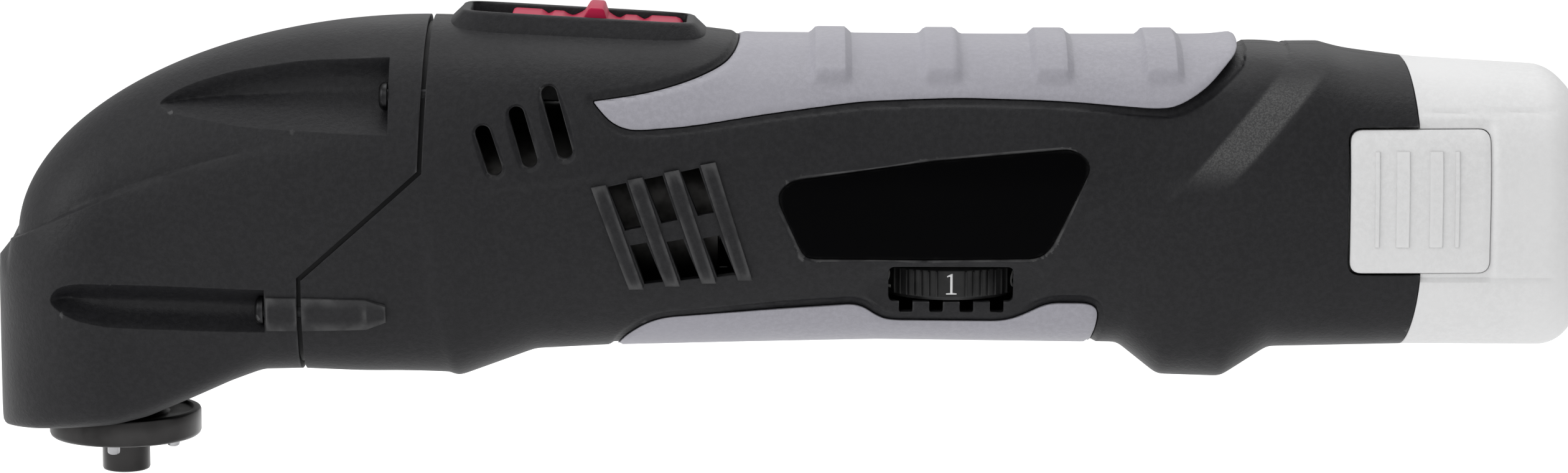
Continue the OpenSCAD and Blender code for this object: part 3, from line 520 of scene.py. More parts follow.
def roof_z(x, y, grow=0.0):
    """How high the body's top is at a place seen from above."""
    x, y = np.atleast_1d(x).astype(float), np.atleast_1d(y).astype(float)
    middle = mid_z(x)
    power = along(TOP_POWER, x, 3.0)
    inside = np.clip(1 - np.abs(y / half_w(x, grow)) ** power, 0, 1)
    return middle + (top_z(x) - middle + grow) * inside ** (1 / power)


def stations(x0, x1, step):
    """Places along X, closer together where the top is steep."""
    places, x = [x0], x0
    while x < x1 - step * 0.5:
        slope = float(top_z(np.array([x + 0.05]))[0] - top_z(np.array([x]))[0]) / 0.05
        x += max(step / math.sqrt(1 + slope * slope), 0.06)
        places.append(min(x, x1))
    if places[-1] < x1:
        places.append(x1)
    return np.array(places)


# ======== Outlines seen from the side, and what they raise or sink ========
def rounded(points, radius, steps=7):
    """A closed outline with each corner replaced by a soft curve."""
    points = [np.array(p, float) for p in points]
    out = []
    for i, corner in enumerate(points):
        before, after = points[i - 1], points[(i + 1) % len(points)]
        start = corner + (before - corner) * min(0.48, radius / max(np.linalg.norm(before - corner), 1e-6))
        end = corner + (after - corner) * min(0.48, radius / max(np.linalg.norm(after - corner), 1e-6))
        for t in np.linspace(0, 1, steps):
            out.append((1 - t) ** 2 * start + 2 * t * (1 - t) * corner + t * t * end)
    return np.array(out)


def inside_distance(x, z, outline):
    """Distance to a closed outline, positive inside it."""
    best = np.full(x.shape, 1e9)
    inside = np.zeros(x.shape, bool)
    for a, b in zip(outline, np.roll(outline, -1, axis=0)):
        edge = b - a
        t = np.clip(((x - a[0]) * edge[0] + (z - a[1]) * edge[1]) / max(edge @ edge, 1e-12), 0, 1)
        best = np.minimum(best, np.hypot(x - a[0] - t * edge[0], z - a[1] - t * edge[1]))
        if abs(edge[1]) > 1e-9:
            crosses = (a[1] > z) != (b[1] > z)
            inside ^= crosses & (x < a[0] + (z - a[1]) * edge[0] / edge[1])
    return np.where(inside, best, -best)


def above_line(x, z, line):
    """Signed distance above an open line, from its nearest stretch."""
    best, sign = np.full(x.shape, 1e9), np.ones(x.shape)
    for a, b in zip(line[:-1], line[1:]):
        edge = np.subtract(b, a)
        t = np.clip(((x - a[0]) * edge[0] + (z - a[1]) * edge[1]) / (edge @ edge), 0, 1)
        d = np.hypot(x - a[0] - t * edge[0], z - a[1] - t * edge[1])
        closer = d < best
        side = np.sign(edge[0] * (z - a[1]) - edge[1] * (x - a[0]))
        best, sign = np.where(closer, d, best), np.where(closer, side, sign)
    return best * sign


def grown(outline, by):
    """The outline moved outwards by a distance."""
    before, after = np.roll(outline, 1, axis=0), np.roll(outline, -1, axis=0)
    tangent = after - before
    tangent /= np.maximum(np.linalg.norm(tangent, axis=1)[:, None], 1e-9)
    normal = np.stack([tangent[:, 1], -tangent[:, 0]], -1)
    area = np.sum(outline[:, 0] * after[:, 1] - after[:, 0] * outline[:, 1])
    return outline + normal * by * (1 if area > 0 else -1)


HEAD_JOINT = [
    (NECK_X, 5), (NECK_X, 17), (NECK_X, 33.4), (SHOULDER_X, 53), (SHOULDER_X + 1.4, 84),
]
TOP_GRIP = rounded([
    (GRIP_X - 26.7, 65.25), (GRIP_X - 27.2, 65.2), (GRIP_X - 27.0, 64.8), (GRIP_X - 24.6, 62.1),
    (GRIP_X - 22.4, 60.8), (GRIP_X - 19.7, 60.2), (GRIP_X - 10, 60.9), (GRIP_X + 4.3, 63),
    (GRIP_X + 21, 65), (GRIP_X + 38.8, 65.6), (GRIP_X + 56.5, 65.1), (GRIP_X + 74.2, 63.8), (GRIP_X + 78, 64.3),
    (GRIP_X + 83, 67.2), (GRIP_X + 86.7, 70.8), (GRIP_X + 89.9, 73.8), (GRIP_X + 90.6, 90),
    (GRIP_X - 0.2, 90), (GRIP_X - 0.3, 77.4), (GRIP_X - 0.6, 75.2), (GRIP_X - 1.9, 72.7),
    (GRIP_X - 4.1, 70.8), (GRIP_X - 10, 68.4), (GRIP_X - 17.7, 66.4),
], 4.0)
LOWER_GRIP = rounded([
    (GRIP_X - 28, 8), (GRIP_X - 22.3, 21), (GRIP_X - 18.3, 24.1), (GRIP_X - 14.7, 25.4), (GRIP_X + 6.6, 27),
    (GRIP_X + 20.5, 27.9), (GRIP_X + 24.5, 24.9), (GRIP_X + 27, 24.4), (GRIP_X + 46.5, 24.3), (GRIP_X + 49.5, 25.2),
    (GRIP_X + 54.8, 28.1), (TAIL_X - 27.6, 28.1), (TAIL_X - 26.0, 26.6), (TAIL_X - 26.6, 22.3), (TAIL_X - 30, 8),
], 2.2)
BADGE = rounded([
    (GRIP_X + 5.8, 48.2), (GRIP_X + 8.0, 50.9), (GRIP_X + 34, 54.4), (GRIP_X + 59.3, 56.6), (GRIP_X + 62.4, 53.8),
    (GRIP_X + 55, 38.6), (GRIP_X + 52.8, 36.9), (GRIP_X + 32, 36.6), (GRIP_X + 11.4, 36.9), (GRIP_X + 10.2, 38.2),
], 2.2)
SCOOP = rounded([
    (GRIP_X + 20.8, 31), (GRIP_X + 23, 34.6), (GRIP_X + 28, 35.5), (GRIP_X + 47, 35.5), (GRIP_X + 52.5, 35.0),
    (GRIP_X + 54.6, 32.4), (GRIP_X + 50, 26.6), (GRIP_X + 46.5, 25.4), (GRIP_X + 27.5, 25.4), (GRIP_X + 24.6, 26.6),
], 3.0)
CREASE = [(-NOSE_R, 36.2), (-17, 39.3), (-10.4, 42.8), (0, 47.6), (11.8, 52), (27.4, 56.1), (42, 58)]
FACET_STEP = [(66, 49.4), (75.8, 50.4), (100, 53.4), (GRIP_X + 10.8, 57.5)]
FRONT_SWELL = [(57.3, 46), (58.5, 30), (61.3, 13)]
REAR_SWELL = [(TAIL_X - 9.6, 52.3), (TAIL_X + 5.4, 69.0), (TAIL_X + 8.5, 73)]
RIBS_X = [GRIP_X + 15.5 + (90 - 27) / 3.15 * i for i in range(4)]


def body_relief(x, y, z):
    """Height of the moulded detail over the plain form, at each point of it."""
    height = np.zeros(x.shape)
    # The nose's ledge runs on as a crease over the head
    up = above_line(x, z, CREASE)
    strength = np.interp(x, [-NOSE_R, -14, 10, 28, 42], [1.5, 1.3, 0.9, 0.45, 0])
    strength = strength * ease((SHOULDER_X - 4 - x) / 8)
    height -= strength * ease(up / 0.9) * np.exp(-np.maximum(up, 0) / 7)
    # A shallow facet runs back from the shoulder to the badge
    up = above_line(x, z, FACET_STEP)
    here = ease((x - 62) / 12) * ease((GRIP_X + 22 - x) / 20)
    height += 0.35 * here * ease((up + 0.8) / 1.6) * np.exp(-np.maximum(up, 0) / 9)
    # The motor's swell, with a soft upright edge
    back = -above_line(x, z, FRONT_SWELL)
    here = ease((47 - z) / 8) * ease((x - NECK_X - 8) / 10)
    height -= 0.45 * here * ease((1.2 + back) / 2.4) * np.exp(-np.maximum(back, 0) / 16)
    # The battery's swell starts in a slanted facet
    across = -above_line(x, z, REAR_SWELL)
    here = ease((z - 46) / 8)
    height += 1.9 * (np.clip(across / 6.8, 0, 1) - 1) * here * ease((across + 26) / 22)
    # A soft hollow along the grip's lower edge
    here = ease((x - GRIP_X + 10) / 20) * ease((TAIL_X - 18 - x) / 12)
    height -= 0.5 * np.exp(-(((z - 29) / 4.5) ** 2)) * here
    # A chamfer round the grips
    for outline in (TOP_GRIP, LOWER_GRIP):
        out = -inside_distance(x, z, outline)
        height -= 0.5 * (1 - np.clip((out - 0.9) / 0.5, 0, 1))
    # The wheel's scoop is on the near side only
    within = inside_distance(x, z, SCOOP)
    height -= np.where(y < 0, 0.6 * ease((within + 0.5) / 1.0) + 1.1 * ease(within / 4.0), 0)
    return height


def grip_relief(x, y, z):
    ribs = sum(1 - ease((np.abs(x - place) - 2.5) / 1.5) for place in RIBS_X)
    lift = 1.15 * ribs * ease((z - 67.6) / 2.0)
    edge = np.full(x.shape, 1e9)
    for outline in (TOP_GRIP, LOWER_GRIP):
        edge = np.minimum(edge, np.abs(inside_distance(x, z, outline)))
    return lift + 0.08 - 0.42 * (1 - ease(edge / 0.9)) ** 1.5


# ======== Mesh tools ========
ACROSS = 60


def new_object(name, mesh):
    made = bpy.data.objects.new(name, mesh)
    scene.collection.objects.link(made)
    return made


def mesh_from(name, points, faces):
    mesh = bpy.data.meshes.new(name)
    mesh.from_pydata((np.asarray(points, float) * MM).tolist(), [], faces)
    mesh.update()
    return new_object(name, mesh)


def tidy_solid(piece):
    """Merges doubles and turns every face outwards."""
    work = bmesh.new()
    work.from_mesh(piece.data)
    bmesh.ops.remove_doubles(work, verts=work.verts, dist=1e-7)
    bmesh.ops.recalc_face_normals(work, faces=work.faces)
    work.to_mesh(piece.data)
    work.free()
    return piece


def form(name, x0, x1, grow=0.0, relief=None, step=0.7, ring=260):
    """A closed solid of the body's form between two places, with relief on its surface."""
    places = stations(x0, x1, step)
    angle = np.linspace(0, 2 * math.pi, ring, endpoint=False)
    grid = section(places, angle, grow)
    if relief is not None:
        slope_x = np.gradient(grid, axis=0)
        slope_a = np.roll(grid, -1, axis=1) - np.roll(grid, 1, axis=1)
        normal = np.cross(slope_a, slope_x)
        normal /= np.maximum(np.linalg.norm(normal, axis=-1)[..., None], 1e-9)
        grid = grid + normal * relief(grid[..., 0], grid[..., 1], grid[..., 2])[..., None]
    rows = len(places)
    start = np.arange(rows - 1)[:, None] * ring + np.arange(ring)[None, :]
    beside = np.arange(rows - 1)[:, None] * ring + np.roll(np.arange(ring), -1)[None, :]
    faces = np.stack([start, beside, beside + ring, start + ring], -1).reshape(-1, 4).tolist()
    faces.append(list(range(ring - 1, -1, -1)))
    faces.append([(rows - 1) * ring + i for i in range(ring)])
    return mesh_from(name, grid.reshape(-1, 3), faces)


def prism(name, outline, y0=-ACROSS, y1=ACROSS):
    """An outline in X and Z, drawn across the tool."""
    n = len(outline)
    points = [(p[0], y, p[1]) for y in (y0, y1) for p in outline]
    faces = [(i, (i + 1) % n, n + (i + 1) % n, n + i) for i in range(n)]
    faces += [tuple(range(n)), tuple(range(2 * n - 1, n - 1, -1))]
    return tidy_solid(mesh_from(name, points, faces))


def slab(name, x0, x1, y0, y1, z0, z1):
    return prism(name, [(x0, z0), (x1, z0), (x1, z1), (x0, z1)], y0, y1)


def lathe(name, profile, turns=96, centre=(0, 0, 0), axis="Z"):
    """A solid of revolution from (radius, height) points, which end on the axis or meet."""
    points, faces = [], []
    for i in range(turns):
        a = 2 * math.pi * i / turns
        points += [(r * math.cos(a), r * math.sin(a), h) for r, h in profile]
    n = len(profile)
    closed = profile[0][0] > 1e-6
    for i in range(turns):
        j = (i + 1) % turns
        for k in range(n if closed else n - 1):
            m = (k + 1) % n
            faces.append((i * n + k, j * n + k, j * n + m, i * n + m))
    piece = mesh_from(name, points, faces)
    if axis == "X":
        piece.data.transform(Matrix(((0, 0, 1, 0), (0, 1, 0, 0), (-1, 0, 0, 0), (0, 0, 0, 1))))
    piece.data.transform(Matrix.Translation(Vector(centre) * MM))
    return tidy_solid(piece)


def rod(radius, low, high):
    """The profile of a plain round bar."""
    return [(0, low), (radius, low), (radius, high), (0, high)]


def bake(piece):
    """Turns a piece's modifiers into its own mesh."""
    mesh = bpy.data.meshes.new_from_object(piece.evaluated_get(bpy.context.evaluated_depsgraph_get()))
    piece.modifiers.clear()
    piece.data = mesh
    return piece


def carve(piece, operation, *tools):
    """Cuts, joins or keeps what is common with each tool in turn, and removes the tools."""
    for tool in tools:
        step = piece.modifiers.new("carve", "BOOLEAN")
        step.operation = operation
        step.object = tool
        step.solver = "MANIFOLD"
        bake(piece)
        if len(piece.data.polygons) == 0:
            raise RuntimeError(f"{piece.name} vanished against {tool.name}")
        bpy.data.objects.remove(tool)
    return piece


def copy_of(piece, name):
    return new_object(name, piece.data.copy())


def finish(piece, body, slot, *nodes, angle=32):
    """Shades a piece, gives it its finish and hands it to the frame."""
    mesh = piece.data
    mesh.materials.clear()
    mesh.materials.append(FINISHES[slot])
    mesh.polygons.foreach_set("material_index", [0] * len(mesh.polygons))
    mesh.shade_smooth()
    mesh.set_sharp_from_angle(angle=math.radians(angle))
    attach(piece, body)
    if nodes:
        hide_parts(*nodes)
    return piece


# ======== Geometry node trees for what repeats ========
def geometry_tree(name, inputs):
    tree = bpy.data.node_groups.new(name, "GeometryNodeTree")
    tree.interface.new_socket("Geometry", in_out="INPUT", socket_type="NodeSocketGeometry")
    sockets = {}
    for label, kind in inputs:
        sockets[label] = tree.interface.new_socket(label, in_out="INPUT", socket_type=kind).identifier
    tree.interface.new_socket("Geometry", in_out="OUTPUT", socket_type="NodeSocketGeometry")
    return tree, tree.nodes.new("NodeGroupInput"), tree.nodes.new("NodeGroupOutput"), sockets


def make_repeat_tree():
    """Puts a unit on every point of the mesh, turned as the point's 'turn' says."""
    tree, given, result, sockets = geometry_tree(
        "repeat_on_points", [("Unit", "NodeSocketObject"), ("Finish", "NodeSocketMaterial")]
    )
    link = tree.links.new
    unit = tree.nodes.new("GeometryNodeObjectInfo")
    link(given.outputs["Unit"], unit.inputs["Object"])
    turn = tree.nodes.new("GeometryNodeInputNamedAttribute")
    turn.data_type = "FLOAT_VECTOR"
    turn.inputs["Name"].default_value = "turn"
    spread = tree.nodes.new("GeometryNodeInstanceOnPoints")
    link(given.outputs["Geometry"], spread.inputs["Points"])
    link(unit.outputs["Geometry"], spread.inputs["Instance"])
    link(turn.outputs["Attribute"], spread.inputs["Rotation"])
    solid = tree.nodes.new("GeometryNodeRealizeInstances")
    link(spread.outputs["Instances"], solid.inputs["Geometry"])
    paint = tree.nodes.new("GeometryNodeSetMaterial")
    link(solid.outputs[0], paint.inputs["Geometry"])
    link(given.outputs["Finish"], paint.inputs["Material"])
    link(paint.outputs[0], result.inputs[0])
    return tree, sockets


def make_raise_tree():
    """Raises strips that lie on a surface into closed bars."""
    tree, given, result, sockets = geometry_tree("raise_strips", [
        ("Height", "NodeSocketFloat"), ("Depth", "NodeSocketFloat"), ("Finish", "NodeSocketMaterial"),
    ])
    link = tree.links.new
    normal = tree.nodes.new("GeometryNodeInputNormal")
    sink = tree.nodes.new("ShaderNodeVectorMath")
    sink.operation = "SCALE"
    link(normal.outputs[0], sink.inputs[0])
    down = tree.nodes.new("ShaderNodeMath")
    down.operation = "MULTIPLY"
    down.inputs[1].default_value = -1
    link(given.outputs["Depth"], down.inputs[0])
    link(down.outputs[0], sink.inputs["Scale"])
    lowered = tree.nodes.new("GeometryNodeSetPosition")
    link(given.outputs["Geometry"], lowered.inputs["Geometry"])
    link(sink.outputs[0], lowered.inputs["Offset"])
    total = tree.nodes.new("ShaderNodeMath")
    total.operation = "ADD"
    link(given.outputs["Height"], total.inputs[0])
    link(given.outputs["Depth"], total.inputs[1])
    raised = tree.nodes.new("GeometryNodeExtrudeMesh")
    raised.inputs["Individual"].default_value = False
    link(lowered.outputs[0], raised.inputs["Mesh"])
    link(total.outputs[0], raised.inputs["Offset Scale"])
    under = tree.nodes.new("GeometryNodeFlipFaces")
    link(lowered.outputs[0], under.inputs["Mesh"])
    both = tree.nodes.new("GeometryNodeJoinGeometry")
    link(raised.outputs["Mesh"], both.inputs[0])
    link(under.outputs[0], both.inputs[0])
    merged = tree.nodes.new("GeometryNodeMergeByDistance")
    merged.inputs["Distance"].default_value = 1e-6
    link(both.outputs[0], merged.inputs["Geometry"])
    solid = tree.nodes.new("GeometryNodeRealizeInstances")
    link(merged.outputs[0], solid.inputs["Geometry"])
    paint = tree.nodes.new("GeometryNodeSetMaterial")
    link(solid.outputs[0], paint.inputs["Geometry"])
    link(given.outputs["Finish"], paint.inputs["Material"])
    link(paint.outputs[0], result.inputs[0])
    return tree, sockets


REPEAT, REPEAT_SOCKETS = make_repeat_tree()
RAISE, RAISE_SOCKETS = make_raise_tree()


def run_tree(piece, tree, sockets, values):
    modifier = piece.modifiers.new("nodes", "NODES")
    modifier.node_group = tree
    for label, value in values.items():
        modifier[sockets[label]] = value
    return bake(piece)


def repeat(name, unit, slot, places):
    """Repeats a unit, whose mesh sits round the origin, at each (place, turn)."""
    mesh = bpy.data.meshes.new(name)
    mesh.from_pydata([[c * MM for c in place] for place, _ in places], [], [])
    turns = mesh.attributes.new("turn", "FLOAT_VECTOR", "POINT")
    turns.data.foreach_set("vector", [c for _, turn in places for c in turn])
    piece = new_object(name, mesh)
    run_tree(piece, REPEAT, REPEAT_SOCKETS, {"Unit": unit, "Finish": FINISHES[slot]})
    bpy.data.objects.remove(unit)
    return piece


def strips_on_side(name, slot, side, bars, height, depth=0.6, surface=side_y):
    """Bars seen from the side, each given by its four corners, raised from the surface."""
    points, faces = [], []
    long_n, wide_n = 16, 3
    for corners in bars:
        a, b, c, d = [np.array(p, float) for p in corners]
        base = len(points)
        for i in range(long_n + 1):
            for j in range(wide_n + 1):
                t, u = i / long_n, j / wide_n
                p = (a * (1 - u) + b * u) * (1 - t) + (d * (1 - u) + c * u) * t
                points.append((p[0], side * float(surface(p[0], p[1])[0]), p[1]))
        for i in range(long_n):
            for j in range(wide_n):
                k = base + i * (wide_n + 1) + j
                faces.append((k, k + 1, k + wide_n + 2, k + wide_n + 1))
    piece = mesh_from(name, points, faces)
    outward = Vector((0, side, 0))
    if sum((face.normal @ outward for face in piece.data.polygons), 0.0) < 0:
        piece.data.flip_normals()
    run_tree(piece, RAISE, RAISE_SOCKETS, {"Height": height * MM, "Depth": depth * MM, "Finish": FINISHES[slot]})
    return piece


# ======== Shells of the body ========
WALL = 2.6
GAP = 0.45
LIP_REACH = 2.6
BAY_R = 22.2
STEM_R = 21.7
CELL_ROOM_R = 20.1
VENT_R = 1.42


def dished(name, outline, side, depth, width, end_x, extra=0.0):
    """Cuts a round-bottomed hollow with a clean edge, ended by a flat wall."""
    low, high = outline.min(axis=0) - 1.5 - extra, outline.max(axis=0) + 1.5 + extra
    columns = np.linspace(low[0], high[0], int((high[0] - low[0]) / 0.3))
    rows = np.linspace(low[1], high[1], int((high[1] - low[1]) / 0.3))
    x, z = np.meshgrid(columns, rows, indexing="ij")
    within = inside_distance(x, z, outline) + extra
    slope = math.pi / 2 * depth / width
    hollow = depth * np.sin(math.pi / 2 * np.clip(within / width, 0, 1))
    sunk = np.where(within > 0, hollow, slope * within)
    surface = side_y(x, z)
    floor = surface - np.maximum(sunk, -2.2) - np.where(within > 0, extra, 0)
    n, m = x.shape
    points = [(x[i, j], side * floor[i, j], z[i, j]) for i in range(n) for j in range(m)]
    points += [(x[i, j], side * (surface[i, j] + 2.6), z[i, j]) for i in range(n) for j in range(m)]
    faces = []
    for i in range(n - 1):
        for j in range(m - 1):
            k = i * m + j
            faces.append((k, k + m, k + m + 1, k + 1))
            k += n * m
            faces.append((k, k + 1, k + m + 1, k + m))
    border = [i * m for i in range(n)] + [(n - 1) * m + j for j in range(1, m)]
    border += [i * m + m - 1 for i in range(n - 2, -1, -1)] + [j for j in range(m - 2, 0, -1)]
    for a, b in zip(border, border[1:] + border[:1]):
        faces.append((b, a, a + n * m, b + n * m))
    made = tidy_solid(mesh_from(name, points, faces))
    return carve(made, "INTERSECT", slab("end_wall", -80, end_x + extra, -80, 80, -50, 150))


UPPER_SCREW_X = SHOULDER_X - 5.7
LOWER_SCREW_X = NECK_X - 6.3
UPPER_POCKET = rounded([
    (8.0, 63.2), (10.0, 65.2), (14.7, 67.4), (22.3, 69.7), (34.9, 71.8), (50.8, 72.6), (62, 73), (62, 59.4),
    (50.8, 59.5), (24.9, 60.2), (12, 62.0),
], 3.0)
LOWER_POCKET = rounded([
    (-11.6, 28.0), (-10.0, 31.0), (-6, 32.1), (10, 31.9), (28, 31.4), (40, 31.3), (40, 23.3), (28, 23.4), (0, 24.0),
    (-7, 25.2),
], 2.5)


def head_pockets(extra=0.0):
    made = []
    for side in (-1, 1):
        made.append(dished("upper_pocket", UPPER_POCKET, side, 6.6, 6.2, UPPER_SCREW_X, extra))
        made.append(dished("lower_pocket", LOWER_POCKET, side, 4.4, 4.0, LOWER_SCREW_X, extra))
    return made


def head_outline(gap):
    line = [np.array(p, float) for p in HEAD_JOINT]
    moved = []
    for i, p in enumerate(line):
        before, after = line[max(i - 1, 0)], line[min(i + 1, len(line) - 1)]
        tangent = (after - before) / np.linalg.norm(after - before)
        moved.append(p + np.array([-tangent[1], tangent[0]]) * gap)
    return moved


def head_prism(name, gap):
    front = [(-60, -20), (-60, 120)]
    edge = head_outline(gap)
    outline = [front[0], (edge[0][0], -20), *edge, (edge[-1][0], 120), front[1]]
    return prism(name, outline)


def make_head():
    head = form("head_cover_shell", -NOSE_R * math.cos(0.03), SHOULDER_X + 3, 0.0, body_relief)
    room = form("head_room", 1.5 * WALL - NOSE_R, SHOULDER_X + 6, -WALL, None, 1.0, 128)
    carve(room, "DIFFERENCE", *head_pockets(1.8))
    carve(head, "DIFFERENCE", room, *head_pockets())
    carve(head, "INTERSECT", head_prism("head_edge", GAP))
    carve(
        head, "DIFFERENCE",
        lathe("spindle_way", rod(9.4, -5, 16), 64),
        lathe("flange_recess", rod(15.0, -5, 5.6), 96),
    )
    finish(head, "housing", "body_plastic", "head_cover")


def make_tongue():
    """A lip behind the joint between head cover and housing, which keeps light out; its near-black finish is painted
    shade in the gap.
    """
    lip = form("joint_lip", NECK_X - 6, SHOULDER_X + 6, -1.3, None, 1.2, 160)
    carve(lip, "DIFFERENCE", form("lip_room", NECK_X - 8, SHOULDER_X + 8, -WALL - 0.2, None, 1.5, 128))
    carve(lip, "INTERSECT", head_prism("lip_back", -LIP_REACH))
    carve(lip, "DIFFERENCE", head_prism("lip_front", LIP_REACH), *head_pockets(0.6))
    # Near-black finish: painted shade in the joint's gap
    finish(lip, "housing", "inner_plastic")


def stadium(x, z, dx, dz, radius):
    """A slot with round ends from a point along a run."""
    a = np.array([x, z])
    b = a + np.array([dx, dz])
    heading = math.atan2(dz, dx)
    out = []
    for centre, start in ((b, heading - math.pi / 2), (a, heading + math.pi / 2)):
        for t in np.linspace(0, math.pi, 12):
            out.append(centre + radius * np.array([math.cos(start + t), math.sin(start + t)]))
    return out


VENT_SLOTS = [
    (SHOULDER_X + 11.4, 59.9, 2.1, -6.1), (SHOULDER_X + 17.4, 63.1, 2.4, -7.9),
    (SHOULDER_X + 23.2, 66.5, 2.9, -9.9),
]
LOUVRE_X = SHOULDER_X + 33.8
LOUVRE_PITCH = 6.55
LOUVRE_RISE = 1.3


def louvre_openings():
    upper = [(0, 50.3), (3.3, 51.0), (6.0, 42.9), (3.1, 42.3)]
    lower = [(4.0, 39.6), (7.0, 40.1), (9.9, 32.7), (6.5, 32.3)]
    return [
        [(LOUVRE_X + LOUVRE_PITCH * i + px, pz + rise * i) for px, pz in shape]
        for i in range(3) for shape, rise in ((upper, LOUVRE_RISE), (lower, 0.6))
    ]


def louvre_slats():
    """Four raised bars, one each side of every column of openings."""
    slats = []
    for i in range(4):
        x, top, foot = LOUVRE_X + LOUVRE_PITCH * i, LOUVRE_RISE * i, 31.6 + 0.5 * i
        slats.append([(x - 3.0, 50.2 + top), (x - 0.3, 50.7 + top), (x + 6.3, foot), (x + 3.7, foot)])
    return slats


WHEEL_LOW, WHEEL_HIGH = box_mm("speed_wheel")
WHEEL_X = (WHEEL_LOW[0] + WHEEL_HIGH[0]) / 2
WHEEL_Y = (WHEEL_LOW[1] + WHEEL_HIGH[1]) / 2
WHEEL_Z0, WHEEL_Z1 = WHEEL_LOW[2], WHEEL_HIGH[2]
WHEEL_R = (WHEEL_HIGH[0] - WHEEL_LOW[0]) / 2
LATCH_LOW, LATCH_HIGH = box_mm("latch_near")


def wheel_window():
    window = rounded([
        (WHEEL_X - 11.4, WHEEL_Z0 - 0.2), (WHEEL_X - 11.4, WHEEL_Z1 + 0.3), (WHEEL_X + 11.2, WHEEL_Z1 + 0.3),
        (WHEEL_X + 11.2, WHEEL_Z0 - 0.2),
    ], 1.2)
    tools = [prism("wheel_window", window, -ACROSS, WHEEL_Y)]
    for x in (-8.2, -2.7, 2.8, 8.3):
        notch = [(-1.25, -2.3), (1.25, -2.3), (1.25, 1.0), (-1.25, 1.0)]
        notch = [(WHEEL_X + x + px, WHEEL_Z0 + pz) for px, pz in notch]
        tools.append(prism("wheel_notch", rounded(notch, 0.5), -ACROSS, WHEEL_Y - 4))
    room = rod(WHEEL_R + 0.4, WHEEL_Z0 - 0.3, WHEEL_Z1 + 0.3)
    return tools + [lathe("wheel_room", room, 64, (WHEEL_X, WHEEL_Y, 0))]


def edge_chamfer(name, outline, side, width, depth):
    """A ring that follows an outline on the body's side and cuts a sloped edge round it."""
    outward = grown(outline, 1.0) - outline
    rows = []
    for reach, lift in ((width + 1.6 * width / depth, 1.6), (0.1, -depth), (-1.5, -depth), (-1.5, 1.6)):
        p = outline + outward * reach
        near = outline + outward * min(reach, width)
        rows.append([(a[0], side * (float(y) + lift), a[1]) for a, y in zip(p, side_y(near[:, 0], near[:, 1]))])
    n = len(outline)
    faces = []
    for k in range(4):
        m = (k + 1) % 4
        faces += [(k * n + i, k * n + (i + 1) % n, m * n + (i + 1) % n, m * n + i) for i in range(n)]
    return tidy_solid(mesh_from(name, [p for row in rows for p in row], faces))


def grip_bed(name, outline, depth, x0, x1):
    """What is cut from the body so that a soft piece sits flush in it."""
    bed = prism(name, grown(outline, 0.22))
    carve(bed, "DIFFERENCE", form("bed_floor", x0, x1, -depth, None, 2.0, 128))
    return bed


def bowed_edge(gap, end_x, away_x):
    """Outline of what lies past the joint with the pack, which bows forwards at top and bottom."""
    edge = [(TAIL_END + away_x, -10), (TAIL_END + end_x, -10)]
    for z in np.linspace(12, 78, 25):
        bow = (1.5 if z > BAY_Z else 3.0) * abs((z - BAY_Z) / 27) ** 2.4
        edge.append((TAIL_END + gap - bow, z))
    return edge + [(TAIL_END + end_x, 95), (TAIL_END + away_x, 95)]


